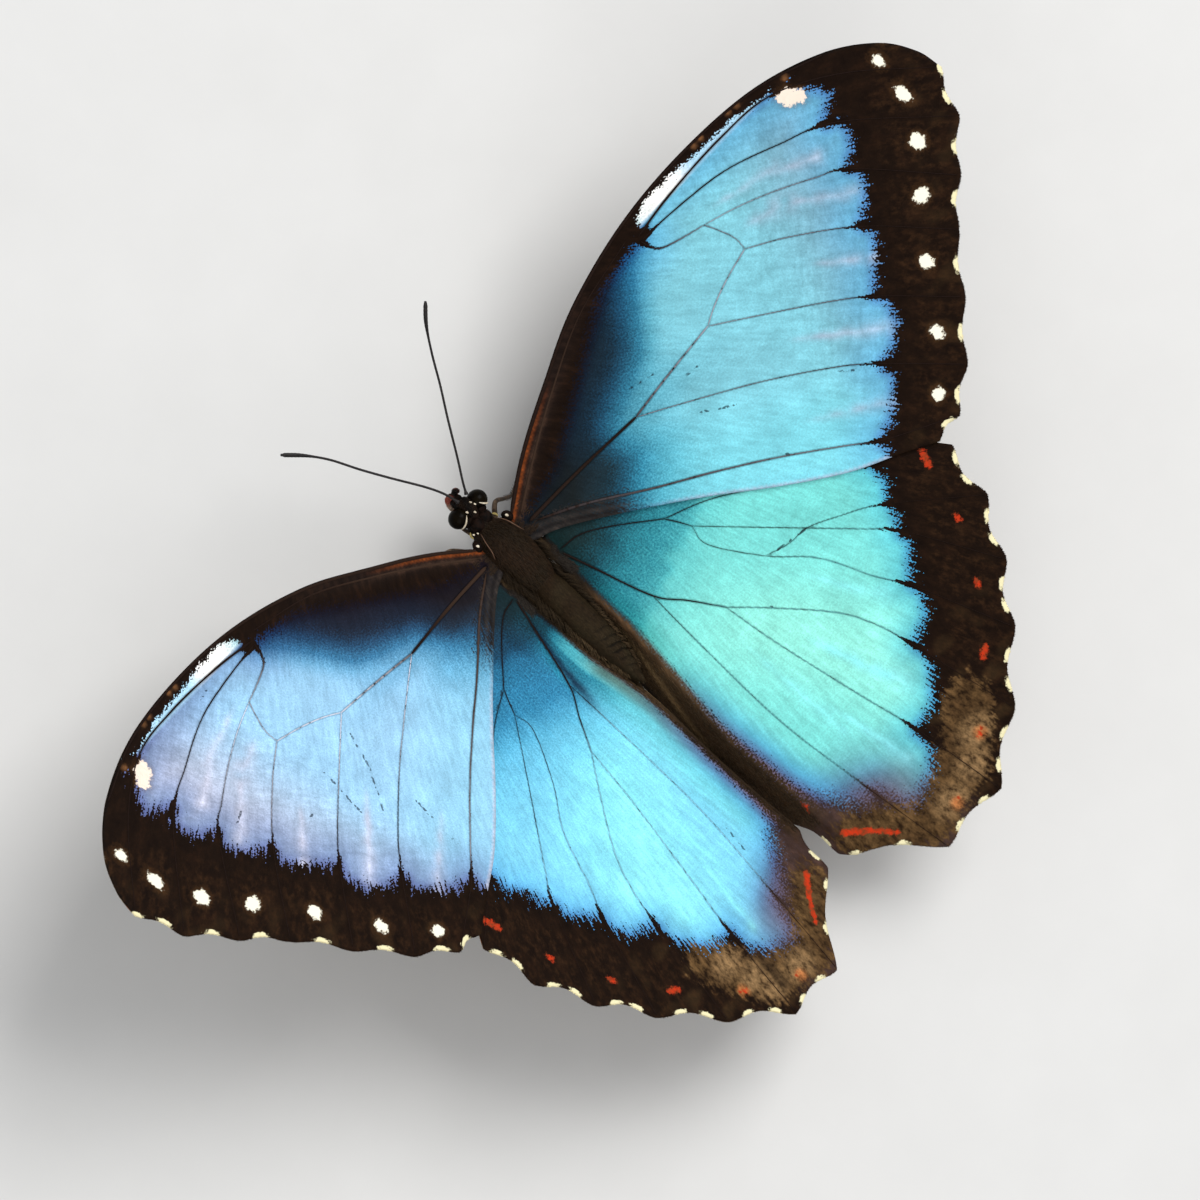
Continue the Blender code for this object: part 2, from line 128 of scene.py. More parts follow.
# Veins: points, radius at both ends, and how pale they are at both ends (0 dark, 1 pale)
VEINS = {
    "fore": {
        "costa": (((-0.8, -1.75), (5.0, -5.5), (12.0, -8.95), (20.0, -12.45), (30.0, -14.9),
                   (40.0, -15.6), (50.0, -14.8), (58.0, -12.15)), 0.26, 0.12, 0.0, 0.0),
        "subcosta": (((0.2, -1.2), (6.0, -4.7), (12.0, -7.9), (20.0, -11.5), (29.0, -13.4)),
                     0.20, 0.08, 0.35, 0.05),
        "stem": (((0.3, 0.0), (8.0, 0.05), (16.3, 0.45)), 0.24, 0.17, 0.0, 0.0),
        "stem_outer": (((16.3, 0.45), (20.0, 0.0), (24.0, -0.4), (28.7, -0.8)),
                       0.15, 0.09, 0.10, 0.8),
        "cell_end": (((28.7, -0.8), (31.0, -1.9), (34.0, -2.9), (37.4, -3.7)),
                     0.085, 0.08, 0.9, 0.8),
        "cell_side": (((37.4, -3.7), (37.5, -5.2), (37.0, -6.8), (36.2, -8.6)),
                      0.05, 0.06, 0.6, 0.5),
        "cell_top": (((36.2, -8.6), (33.0, -9.5), (31.2, -10.2), (30.6, -11.0), (30.2, -12.3)),
                     0.06, 0.13, 0.5, 0.0),
        "r5": (((30.4, -12.8), (36.0, -13.5), (44.0, -13.8), (51.0, -13.1), (58.0, -9.3),
                (65.4, -2.6)), 0.17, 0.06, 0.0, 0.0),
        "m1": (((30.2, -12.3), (36.0, -11.9), (42.0, -11.0), (48.0, -8.8), (54.0, -6.0),
                (63.2, 2.6)), 0.10, 0.06, 0.0, 0.0),
        "m2": (((36.2, -8.6), (40.0, -7.4), (44.0, -5.7), (48.0, -3.6), (51.5, -1.4),
                (58.8, 7.1)), 0.06, 0.07, 0.9, 0.0),
        "m3": (((37.4, -3.7), (42.0, -0.9), (48.0, 3.8), (54.5, 11.0)), 0.06, 0.07, 0.6, 0.0),
        "cua1": (((28.7, -0.8), (34.0, 2.8), (40.0, 7.0), (43.7, 10.1), (49.8, 16.5)),
                 0.06, 0.07, 0.7, 0.0),
        "cua2": (((16.3, 0.45), (20.5, 2.8), (28.0, 7.2), (34.0, 11.3), (38.0, 14.6),
                  (44.8, 21.7)), 0.06, 0.07, 0.6, 0.0),
        "2a": (((1.0, 0.5), (6.0, 3.1), (12.0, 7.0), (18.0, 10.6), (24.0, 14.5), (30.0, 18.9),
                (33.0, 21.2), (40.3, 25.0)), 0.17, 0.06, 0.0, 0.5),
    },
    "hind": {
        "rs_stem": (((0.5, 4.5), (3.0, 4.9), (6.0, 6.7), (10.5, 10.2)), 0.10, 0.08, 0.2, 0.1),
        "rs": (((10.5, 10.2), (16.0, 12.6), (24.0, 18.0), (31.0, 22.6), (37.4, 26.6)),
               0.07, 0.06, 0.2, 0.0),
        "cross": (((10.5, 10.2), (11.3, 11.5), (12.05, 12.9)), 0.085, 0.06, 0.0, 0.0),
        "m1": (((15.5, 20.9), (18.0, 21.7), (20.5, 21.9), (24.0, 23.6), (28.0, 26.0),
                (36.2, 33.0)), 0.04, 0.06, 0.0, 0.0),
        "m2": (((12.05, 12.9), (14.0, 15.0), (20.0, 21.4), (24.5, 26.2), (27.5, 29.7),
                (32.7, 39.2)), 0.045, 0.06, 0.9, 0.0),
        "m3": (((12.05, 12.9), (11.8, 15.5), (15.3, 20.9), (19.0, 25.0), (21.7, 30.5),
                (24.2, 35.0), (28.2, 45.0)), 0.045, 0.06, 0.9, 0.0),
        "stem": (((0.3, 5.0), (0.8, 6.5), (1.5, 8.6), (3.7, 15.1), (6.0, 18.2), (8.3, 21.6)),
                 0.16, 0.09, 0.05, 0.35),
        "cua1": (((8.3, 21.6), (11.5, 25.0), (16.0, 30.3), (18.0, 34.0), (19.3, 38.5),
                  (22.0, 51.0)), 0.055, 0.06, 0.6, 0.0),
        "cua2": (((8.3, 21.6), (9.3, 28.0), (11.4, 38.0), (13.1, 45.5), (14.7, 56.0)),
                 0.045, 0.065, 0.6, 0.0),
        "2a": (((3.7, 15.1), (3.5, 22.0), (3.5, 34.0), (4.6, 44.0), (6.3, 56.4)),
               0.05, 0.05, 0.5, 0.0),
    },
}

# How brown some of the forewing's veins are, and how many sides every vein has
VEIN_BROWN = {"costa": 0.15, "subcosta": 0.8, "stem": 0.5, "2a": 0.5}
VEIN_SIDES = 8

# Markings of the upper side
BLUE_OUTLINE = {
    "fore": (
        (-2.0, -0.6), (6.0, -2.2), (10.0, -4.2), (16.0, -7.6), (20.0, -9.8), (24.0, -11.8),
        (28.0, -12.5), (30.0, -12.5), (31.0, -13.0), (31.3, -14.4), (33.6, -15.2),
        (37.5, -15.15), (41.0, -14.75), (46.0, -14.55), (51.0, -13.6), (53.6, -12.2),
        (55.2, -10.2),
        (55.8, -8.4), (54.4, -7.6), (52.9, -6.8), (54.6, -6.0), (54.2, -4.1), (53.2, -2.7),
        (51.4, -1.7), (52.2, -0.5), (51.6, 0.9), (50.2, 2.3), (48.0, 3.6), (48.6, 5.0),
        (47.0, 7.0), (45.2, 8.4), (43.6, 9.9), (44.3, 11.2), (43.1, 13.7), (41.0, 15.3),
        (38.7, 15.7), (39.0, 17.3), (37.2, 19.1), (35.3, 20.5), (32.8, 21.2), (32.9, 22.5),
        (31.9, 23.8), (28.0, 26.0), (8.0, 14.0), (-4.0, 6.0),
    ),
    "hind": (
        (30.5, 20.0), (30.2, 24.6), (28.9, 26.2), (28.4, 27.8), (27.2, 29.6), (27.3, 31.0),
        (25.7, 32.6), (24.0, 34.3), (24.3, 35.8), (22.8, 37.9), (19.6, 39.1), (19.8, 41.2),
        (18.2, 43.2), (16.2, 45.3), (13.0, 45.6), (13.0, 48.0), (11.2, 49.9), (8.0, 50.9),
        (6.3, 50.2), (5.1, 47.0), (4.0, 47.2), (2.6, 45.8), (0.9, 44.0), (-1.0, 42.0),
        (-5.0, 40.5), (-9.0, 38.0), (-9.0, -4.0), (30.0, -4.0),
    ),
}
# Where the blue has risen to about a third of its strength, out from the forewing's base
SHADE_OUTLINE = (
    (-8.0, -14.0), (30.0, -14.0), (29.0, -12.2), (27.0, -10.4), (25.2, -8.2), (23.4, -6.0),
    (21.8, -4.0), (19.2, -2.6), (16.2, -1.4), (14.2, -0.3), (13.8, 1.2), (14.0, 3.6),
    (12.6, 5.0), (10.8, 6.2), (9.2, 7.8), (8.0, 9.4), (6.4, 10.4), (4.6, 10.2), (-8.0, 12.0),
)
# Strength of the hindwing's blue away from its base: slant, distances, strengths
HIND_TONE = {
    "left": (0.3, (5.0, 7.6, 9.6, 11.1, 12.9, 16.8, 18.0, 20.5, 25.5, 30.0),
             (0.05, 0.12, 0.15, 0.26, 0.31, 0.37, 0.46, 0.70, 0.92, 1.0)),
    "right": (0.35, (5.0, 8.7, 10.0, 11.5, 13.2, 15.0, 16.2, 17.7, 21.0),
              (0.05, 0.15, 0.22, 0.30, 0.37, 0.42, 0.52, 0.80, 1.0)),
}
# The same for the forewing, by its share of the way out from the shaded part
FORE_TONE = ((-2.4, -1.0, -0.5, 0.0, 0.5, 1.0, 1.7), (0.0, 0.12, 0.22, 0.36, 0.66, 0.90, 1.0))
# White spots: u, v and half sizes
WHITE_SPOTS = (
    (61.7, -7.4, 0.55, 0.75), (61.0, -3.1, 0.65, 1.05), (58.5, 1.6, 0.85, 0.9),
    (54.6, 5.9, 0.95, 0.8), (49.9, 11.2, 0.75, 0.85), (45.3, 17.3, 0.65, 0.85),
    (40.6, 22.0, 0.7, 0.7), (52.2, -11.6, 0.95, 1.05), (53.1, -10.9, 0.75, 0.85),
    (51.7, -12.1, 0.6, 0.55), (63.4, -8.9, 0.2, 0.3),
)
# Red marks: both ends and half width
RED_MARKS = (
    ((34.9, 25.1), (34.4, 26.6), 0.40), ((32.5, 32.4), (32.45, 33.0), 0.30),
    ((29.1, 38.8), (28.8, 39.4), 0.30), ((24.6, 44.6), (23.7, 45.1), 0.38),
    ((18.0, 50.3), (17.2, 50.8), 0.20), ((11.0, 53.8), (10.4, 53.9), 0.16),
    ((-0.5, 47.6), (1.6, 49.4), 0.38), ((1.6, 49.4), (3.6, 51.7), 0.30),
    ((-1.2, 42.4), (-1.5, 43.3), 0.22),
)
# Centres of the cream dashes in the fringe
DASHES = {
    "fore": ((65.75, -4.1), (64.75, 0.8), (61.2, 5.2), (57.0, 8.9), (52.2, 14.0), (47.5, 19.6),
             (42.6, 24.1), (39.1, 25.5)),
    "hind": ((37.2, 28.3), (36.5, 30.6), (34.9, 34.9), (33.5, 37.1), (31.0, 41.4), (29.2, 43.0),
             (25.7, 46.9), (23.2, 49.0), (19.4, 52.6), (16.5, 54.5), (12.6, 56.2), (9.0, 56.4),
             (2.5, 53.7), (-1.4, 50.3), (-3.9, 47.0)),
}
DASH_HALF_LENGTH = {"fore": 0.95, "hind": 0.85}
DASH_INSET = 0.14
DASH_DEPTH = 0.32

# Brown band on top beside the hindwing's fold: (v, width)
BAND = {
    "left": ((6.0, 0.6), (11.0, 0.2), (15.0, 0.1), (22.0, 0.0), (34.0, 0.0), (38.0, 0.3),
             (43.0, 1.1)),
    "right": ((6.0, 0.4), (8.5, 0.5), (13.0, 0.15), (30.0, 0.1), (40.0, 0.25), (44.0, 0.7)),
}
# Painted highlight, in tan, along the ridge of the wall beside the abdomen: v, and how far past
# the fold
RIDGE = ((12.0, 16.0, 20.0, 26.0, 34.0), (1.2, 1.5, 2.0, 2.9, 3.5))
RIDGE_WIDTH = 0.45

# Pale streaks between the veins, painted highlights along the wing's folds: ends, half width,
# strength
STREAKS = {
    "fore": (((40.5, 2.0), (46.5, 7.0), 0.50, 0.7), ((33.0, 6.0), (42.0, 13.2), 0.60, 0.6),
             ((43.0, -4.6), (50.0, 0.6), 0.55, 0.65), ((44.5, -7.5), (49.8, -5.0), 0.60, 0.6),
             ((28.0, 13.4), (37.0, 19.2), 0.65, 0.4), ((37.0, -9.6), (46.0, -7.4), 0.5, 0.35),
             ((38.5, -5.5), (44.0, -4.0), 0.9, 0.45)),
    "hind": (((11.5, 29.0), (15.8, 41.0), 0.7, 0.7), ((8.2, 36.0), (10.2, 47.0), 0.5, 0.6),
             ((6.6, 24.0), (7.6, 40.0), 0.7, 0.3), ((16.0, 24.0), (21.0, 33.0), 0.6, 0.35)),
}
# The left hindwing's pleat: path, half width, colour, strength. The dark band is partly the vein's
# grey-mauve scales and partly painted shade in the pleat; a cyan stripe runs beside it
PLEAT = (
    (((0.84, 6.8), (1.85, 10.0), (2.33, 12.4), (2.77, 15.3), (3.4, 19.0), (3.9, 21.0)),
     (0.38, 0.60, 0.95), (0.080, 0.095, 0.150), 0.95),
    (((1.5, 7.5), (2.2, 9.5), (3.5, 13.0), (4.0, 14.7), (4.3, 16.5)),
     (0.20, 0.28, 0.28), (0.14, 0.74, 0.82), 0.65),
)
# Fine dark scratches in the blue, on each wing
SCRATCHES = {
    ("fore", "right"): (((23.3, 1.2), (24.8, 1.4)), ((21.5, 5.0), (24.9, 7.4)),
                        ((18.0, -2.2), (21.0, -1.4)), ((24.5, 14.6), (25.2, 15.2)),
                        ((35.0, 12.6), (36.5, 14.0))),
    ("fore", "left"): (((29.9, 1.4), (31.2, 5.0)), ((31.2, 5.0), (34.2, 9.4)),
                       ((36.0, 2.2), (36.4, 8.0)), ((30.2, 11.0), (30.6, 17.5)),
                       ((38.0, -12.9), (40.5, -12.4)), ((26.3, 16.2), (27.0, 16.9)),
                       ((47.0, -1.5), (49.0, -0.8)), ((41.0, 4.2), (41.6, 4.3))),
    ("hind", "right"): (((16.0, 21.2), (20.5, 21.9)), ((9.0, 22.4), (9.3, 22.9)),
                        ((11.6, 25.0), (11.9, 25.3))),
    ("hind", "left"): (((9.4, 9.6), (13.4, 11.2)), ((11.4, 11.8), (11.9, 13.3)),
                       ((2.8, 38.0), (3.3, 41.0)), ((1.5, 8.0), (3.2, 13.4))),
}

# Colours of the blue, linear, on each wing. Left and right differ as painted sheen: the blue's
# iridescence is painted in as it fell on each side
BLUES = {
    ("fore", "right"): {"cell": (0.23, 0.59, 0.68), "hind": (0.23, 0.70, 0.79),
                        "outer": (0.19, 0.37, 0.48), "border": (0.12, 0.42, 0.64),
                        "rim": (0.06, 0.17, 0.46)},
    ("fore", "left"): {"cell": (0.34, 0.60, 0.82), "hind": (0.32, 0.63, 0.83),
                       "outer": (0.44, 0.46, 0.57), "border": (0.15, 0.23, 0.42),
                       "rim": (0.09, 0.11, 0.30)},
    ("hind", "right"): {"cell": (0.20, 0.71, 0.66), "hind": (0.095, 0.54, 0.49),
                        "outer": (0.32, 0.87, 0.73), "border": (0.10, 0.53, 0.62),
                        "rim": (0.04, 0.22, 0.50)},
    ("hind", "left"): {"cell": (0.23, 0.66, 0.88), "hind": (0.18, 0.65, 0.68),
                       "outer": (0.29, 0.83, 0.93), "border": (0.12, 0.44, 0.74),
                       "rim": (0.05, 0.19, 0.48)},
}
# Pale colours of the veins, which also differ left and right as painted sheen
VEIN_PALE = {
    ("fore", "right"): (0.42, 0.40, 0.46), ("fore", "left"): (0.76, 0.74, 0.82),
    ("hind", "right"): (0.10, 0.31, 0.34), ("hind", "left"): (0.26, 0.52, 0.66),
}
# Colour of the streaks' painted highlights, paler on the left; it also draws the pale line along
# the forewing's hind edge
STREAK_COLOUR = {"right": (0.40, 0.48, 0.60), "left": (0.60, 0.60, 0.72)}

# Colours of the markings, and tints that a noise field picks from, linear
SPECK_DARK = (0.012, 0.018, 0.04)
FLECK_BROWN = (0.038, 0.0165, 0.0065)
SCRATCH_DARK = (0.012, 0.02, 0.03)
SPOT_HALO = (0.10, 0.045, 0.015)
SPOT_CREAM = (0.94, 0.89, 0.72)
SPOT_PEACH = (0.92, 0.76, 0.63)
MARK_RED = (0.56, 0.035, 0.008)
MARK_RUST = (0.22, 0.04, 0.012)
DASH_CREAM = (0.84, 0.76, 0.46)
GROUND_BLACK = (0.010, 0.0045, 0.0022)
GROUND_BROWN = (0.045, 0.026, 0.011)
BLUE_SHADES = (
    (0.0, (0.055, 0.024, 0.021)), (0.10, (0.055, 0.046, 0.056)), (0.20, (0.07, 0.13, 0.19)),
    (0.36, (0.15, 0.34, 0.45)), (0.62, (0.46, 0.67, 0.75)), (1.0, (1.0, 1.0, 1.0)),
)
CLOUD_TINTS = (
    (0.30, (0.55, 0.5, 0.5)), (0.52, (0.95, 0.92, 0.88)), (0.66, (1.6, 1.45, 1.3)),
    (0.80, (2.4, 2.1, 1.8)),
)
TAN_TINTS = ((0.36, (0.22, 0.19, 0.17)), (0.48, (0.8, 0.78, 0.76)), (0.66, (1.75, 1.7, 1.65)))
UNDER_TINTS = ((0.25, (0.6, 0.58, 0.55)), (0.5, (1.0, 1.0, 1.0)), (0.75, (1.55, 1.5, 1.45)))
EYESPOT_RINGS = (
    (0.0, (0.85, 0.88, 0.9)), (0.09, (0.75, 0.80, 0.85)), (0.12, (0.03, 0.03, 0.05)),
    (0.50, (0.008, 0.005, 0.004)), (0.53, (0.62, 0.36, 0.05)), (0.70, (0.70, 0.48, 0.12)),
    (0.73, (0.06, 0.028, 0.012)), (0.90, (0.05, 0.025, 0.012)), (0.93, (0.30, 0.26, 0.22)),
    (1.0, (0.26, 0.22, 0.19)),
)
# Horny surfaces: dark and light colour, grain scale, roughness, specular level, relief
SHELLS = {
    "feeler": ((0.005, 0.004, 0.004), (0.018, 0.014, 0.013), 3000.0, 0.45, 0.2, 0.4),
    "leg": ((0.040, 0.022, 0.012), (0.17, 0.11, 0.065), 1800.0, 0.5, 0.25, 0.4),
    "claw": ((0.008, 0.005, 0.004), (0.03, 0.018, 0.012), 3000.0, 0.35, 0.5, 0.4),
    "tongue": ((0.07, 0.032, 0.015), (0.20, 0.10, 0.045), 2500.0, 0.4, 0.5, 0.4),
    "lobe": ((0.003, 0.002, 0.0015), (0.012, 0.006, 0.004), 2200.0, 0.6, 0.04, 0.8),
    "skin_fold": ((0.019, 0.012, 0.006), (0.044, 0.028, 0.014), 1500.0, 0.7, 0.04, 0.8),
    "cream_scales": ((0.50, 0.40, 0.27), (0.80, 0.70, 0.54), 2600.0, 0.55, 0.5, 0.8),
}

# Upper ground: tan specks on the costa, and the hindwing's tan corner with its bright parts
COSTA_SPECKS = ((41.5, -15.3), (42.6, -15.4), (46.6, -15.15), (47.8, -15.0), (53.5, -13.3))
TAN_CORNER = {
    "left": ((17.8, 45.5), (16.5, 48.5), (14.0, 52.0), (7.0, 53.5), (0.5, 49.0)),
    "right": ((19.0, 47.5), (14.5, 51.5), (7.0, 53.5), (0.5, 49.0)),
}
TAN_GLOWS = {
    "left": ((9.6, 53.4), (16.3, 47.4), (15.0, 50.4), (14.2, 52.6)),
    "right": ((10.2, 53.6), (17.4, 50.2), (14.6, 52.4)),
}
# Dark line down the left hindwing's tan corner: partly its vein, partly painted shade in the
# crease there
CORNER_PLEAT = ((11.6, 43.6), (12.6, 48.0), (13.0, 53.4))
EMBERS = ((10.4, 54.2), (17.6, 50.6))
# Painted shade: the left wall beside the abdomen and its hair are drawn darker than the right
WALL_SHADE = {"left": 0.7, "right": 1.0}

# Underside: eyespots (u, v, radius), lines along the margin (gap, width, colour) and bands
EYESPOTS = {
    "fore": ((55.6, -6.3, 1.8), (51.2, 0.6, 2.5), (46.6, 6.6, 2.9), (41.2, 12.9, 2.8)),
    "hind": ((29.6, 25.8, 3.7), (21.3, 38.6, 2.6), (15.3, 43.2, 3.0), (8.6, 45.2, 3.0),
             (2.2, 42.6, 1.9)),
}
UNDER_LINES = (
    (0.9, 0.30, (0.33, 0.095, 0.03)), (1.9, 0.26, (0.40, 0.33, 0.22)),
    (2.9, 0.40, (0.035, 0.020, 0.012)), (4.0, 0.35, (0.25, 0.20, 0.14)),
)
UNDER_BANDS = {
    "fore": (((14.0, -9.5), (17.5, -4.0), (17.0, 0.0)),
             ((23.0, -12.5), (26.5, -6.0), (27.5, -0.6)),
             ((36.0, -15.0), (40.0, -8.0), (38.0, 1.0), (31.0, 9.5), (26.0, 17.0))),
    "hind": (((12.0, 4.0), (8.0, 12.0), (2.0, 16.0), (-4.0, 19.0)),
             ((24.0, 13.0), (20.0, 24.0), (12.0, 31.0), (2.0, 33.0), (-4.5, 33.0))),
}

# Body cross-sections, front to back: (y, height above the hinge, half width, half height)
BODY_SECTIONS = (
    (-7.05, -0.55, 0.50, 0.65), (-6.75, -0.45, 0.82, 1.10), (-6.10, -0.40, 0.92, 1.42),
    (-5.40, -0.45, 0.92, 1.42), (-4.95, -0.60, 0.85, 1.15), (-4.75, -0.70, 0.72, 0.95),
    (-4.50, -0.95, 1.05, 1.10), (-4.20, -1.05, 1.40, 1.42), (-3.70, -1.15, 1.55, 1.60),
    (-3.20, -1.20, 1.55, 1.68), (-2.80, -1.27, 1.70, 1.85), (-2.40, -1.30, 2.20, 2.30),
    (-1.50, -1.35, 2.62, 2.75), (-0.20, -1.40, 2.75, 3.00), (1.30, -1.40, 2.80, 3.08),
    (2.90, -1.40, 2.68, 2.98), (4.30, -1.35, 2.42, 2.65), (5.10, -1.25, 2.15, 2.30),
    (5.65, -1.15, 1.85, 1.95), (7.20, -1.05, 1.98, 2.02), (10.0, -1.15, 2.06, 2.15),
    (13.0, -1.25, 1.98, 2.10), (15.0, -1.30, 1.82, 1.98), (17.0, -1.30, 1.50, 1.72),
    (18.8, -1.20, 1.04, 1.26), (20.2, -1.10, 0.57, 0.72), (20.9, -1.05, 0.26, 0.32),
)
BODY_SQUARENESS = 2.25
# Folds of the abdomen: place and how marked they are, both in their depth and in the painted shade
# laid in them
ABDOMEN_FOLDS = ((9.9, 0.15), (11.7, 0.25), (13.3, 0.5), (14.5, 0.7), (15.5, 1.0), (16.4, 1.0),
                 (17.4, 0.5), (18.4, 0.6), (19.4, 0.3))
FOLD_SLANT = 0.6
# Depth of the hair on head, thorax and abdomen
COAT_DEPTH = (0.05, 0.12, 0.07)
# Hair: name, from and to y, tufts to a square mm, length, width, disorder, seed, rise
COATS = (
    ("coat_head", -7.0, -4.6, 70, 0.30, 0.07, 0.25, 61, 0.55),
    ("coat_collar", -4.7, -2.6, 55, 0.42, 0.075, 0.25, 62, 0.40),
    ("coat_thorax", -2.9, 5.7, 62, 0.75, 0.08, 0.22, 63, 0.30),
    ("coat_abdomen", 5.2, 20.7, 52, 0.45, 0.08, 0.10, 64, 0.14),
)

EYE_CENTRE = (1.46, -5.65, -0.40)
EYE_RADII = (1.18, 1.13, 1.28)
EYE_LINE = ((1.02, -5.30, 0.93), (1.30, -4.98, 0.72), (1.66, -4.70, 0.40), (1.98, -4.60, -0.10),
            (2.10, -4.66, -0.60))

ANTENNA_PATH = {
    "left": ((0.62, -6.85, 1.00), (1.10, -8.50, 1.35), (2.20, -10.6, 1.80), (4.45, -14.0, 2.60),
             (6.35, -17.0, 3.30), (8.10, -20.0, 4.00), (9.85, -22.2, 4.55), (11.8, -24.1, 5.00)),
    "right": ((0.62, -6.85, 1.00), (1.40, -8.25, 1.30), (2.75, -10.4, 1.75), (4.85, -14.0, 2.60),
              (6.70, -17.0, 3.30), (8.40, -20.0, 4.00), (10.1, -22.6, 4.65), (11.8, -24.4, 5.05)),
}
PALP_PATH = (
    (0.48, -6.30, -2.55), (0.52, -7.20, -2.30), (0.52, -7.85, -1.20), (0.46, -7.95, -0.20),
    (0.42, -7.80, 0.60),
)
PALP_BLACK, PALP_RED, PALP_CREAM = (0.014, 0.009, 0.009), (0.30, 0.07, 0.05), (0.55, 0.42, 0.32)
FORELEG_PATH = ((0.80, -3.40, -3.35), (1.05, -4.60, -3.30), (1.20, -5.60, -2.95))
MIDLEG_PATH = (
    (1.00, -0.90, -4.66), (2.40, -2.50, -4.40), (3.90, -3.95, -4.20), (5.60, -3.50, -6.30),
    (7.20, -3.10, -8.70), (8.40, -3.30, -10.28), (10.7, -4.20, -10.28),
)
HINDLEG_PATH = (
    (1.05, 2.50, -4.70), (2.80, 4.70, -4.55), (4.40, 6.70, -4.40), (5.60, 9.40, -6.50),
    (6.90, 12.3, -8.80), (7.60, 14.2, -10.28), (9.00, 16.9, -10.28),
)
STANDING_LEG_RADII = (0.30, 0.34, 0.26, 0.22, 0.20, 0.17, 0.15)
# Legs: path, radii along it, and the share of the way at which the ringed foot starts
LEGS = {
    "foreleg": (FORELEG_PATH, (0.24, 0.22, 0.18), 0.7),
    "midleg": (MIDLEG_PATH, STANDING_LEG_RADII, 0.72),
    "hindleg": (HINDLEG_PATH, STANDING_LEG_RADII, 0.74),
}
PROBOSCIS_CENTRE = (-5.55, -3.75)

# Lobes and folds of both sides: name, centre, radii, turn, tilt, unevenness, seed
SIDE_LOBES = (
    ("collar_{}_lobe", (0.66, -3.72, 0.02), (0.80, 0.86, 0.62), 0.15, 0.25, 0.03, 4),
    ("flank_{}_fold", (2.02, 7.2, -1.35), (0.55, 3.4, 0.75), 0.0, 0.0, 0.03, 7),
    ("wing_base_{}_fold", (3.0, 3.1, -0.75), (0.95, 1.35, 0.50), 0.0, -0.35, 0.05, 8),
    ("cheek_{}_lobe", (1.02, -4.72, -0.55), (0.72, 0.55, 0.85), 0.2, 0.0, 0.03, 6),
    ("shoulder_{}_lobe", (2.42, -2.12, 0.10), (0.56, 0.72, 0.50), -0.3, 0.3, 0.04, 5),
)
# White dots: centre and radius
DOTS = (
    (-0.36, -5.98, 0.86, 0.15), (-0.60, -5.52, 0.76, 0.14), (0.66, -5.50, 0.72, 0.17),
    (-0.02, -4.92, 0.60, 0.16), (-2.28, -2.20, 0.56, 0.20), (2.52, -2.16, 0.54, 0.20),
    (1.80, -3.30, 0.20, 0.13), (1.42, -3.10, 0.36, 0.12),
)
SEAM = ((1.30, -2.85, 0.62), (1.75, -1.80, 0.98), (2.05, -0.60, 1.05), (2.35, 0.20, 0.80))
# Pale lines behind the head: name, side, half width, colour, path
PALE_LINES = (
    ("yoke_right", -1.0, 0.13, (0.30, 0.24, 0.09),
     ((1.35, -3.50, 0.30), (1.62, -3.15, 0.20), (1.60, -2.85, 0.30))),
    ("yoke_left", 1.0, 0.13, (0.30, 0.24, 0.09),
     ((1.75, -3.75, -0.25), (2.00, -3.40, -0.20), (2.05, -3.00, -0.10))),
    ("seam_right", -1.0, 0.055, (0.13, 0.075, 0.05), SEAM),
    ("seam_left", 1.0, 0.055, (0.13, 0.075, 0.05), SEAM),
)


# ---------------------------------------------------------------- small maths

def smooth(x, low, high):
    """0 below low, 1 above high, and a soft step between."""
    t = np.clip((np.asarray(x, float) - low) / (high - low), 0, 1)
    return t * t * (3 - 2 * t)


def blend(a, b, t):
    """Mix of two colours or arrays of colours."""
    t = np.asarray(t, float)[..., None]
    return np.asarray(a, float) * (1 - t) + np.asarray(b, float) * t


def layered(colour, *layers):
    """Colours laid over the first one in turn, each given with its share."""
    for over, share in layers:
        colour = blend(colour, over, share)
    return colour


def bell(x, width):
    """1 at zero, falling off evenly to both sides."""
    return np.exp(-(x / width) ** 2)


def curve(points, steps):
    """Catmull-Rom curve through the points, with this many steps from one to the next."""
    p = np.array(points, float)
    ends = np.vstack([2 * p[0] - p[1], p, 2 * p[-1] - p[-2]])
    t = (np.arange(steps) / steps)[:, None]
    parts = []
    for a, b, c, d in zip(ends, ends[1:], ends[2:], ends[3:]):
        parts.append(0.5 * (2 * b + (c - a) * t + (2 * a - 5 * b + 4 * c - d) * t ** 2
                            + (3 * b - a - 3 * c + d) * t ** 3))
    return np.vstack(parts + [p[-1:]])


def evenly(path, step):
    """The same path with its points an even step apart."""
    path = np.asarray(path, float)
    run = np.concatenate([[0], np.cumsum(np.linalg.norm(np.diff(path, axis=0), axis=1))])
    count = max(2, round(run[-1] / step))
    at = np.linspace(0, run[-1], count + 1)
    return np.stack([np.interp(at, run, path[:, k]) for k in range(path.shape[1])], 1)


def to_path(points, path):
    """Distance of flat points to a path, and how far along the path its nearest point is."""
    best = np.full(len(points), 1e9)
    along = np.zeros(len(points))
    run = 0.0
    for a, b in zip(path, path[1:]):
        step = b - a
        length = np.linalg.norm(step)
        if length < 1e-9:
            continue
        t = np.clip(((points - a) @ step) / length ** 2, 0, 1)
        gap = np.linalg.norm(points - a - t[:, None] * step, axis=1)
        nearer = gap < best
        best[nearer] = gap[nearer]
        along[nearer] = run + t[nearer] * length
        run += length
    return best, along


def gap_to(points, path):
    """Distance of flat points to a path."""
    return to_path(points, np.asarray(path, float))[0]


def nearest(points, spots, wide=1.0, tall=1.0):
    """Distance of flat points to the nearest spot, in units of its width and height."""
    u, v = points.T
    return np.min([np.hypot((u - a) / wide, (v - b) / tall) for a, b in spots], axis=0)


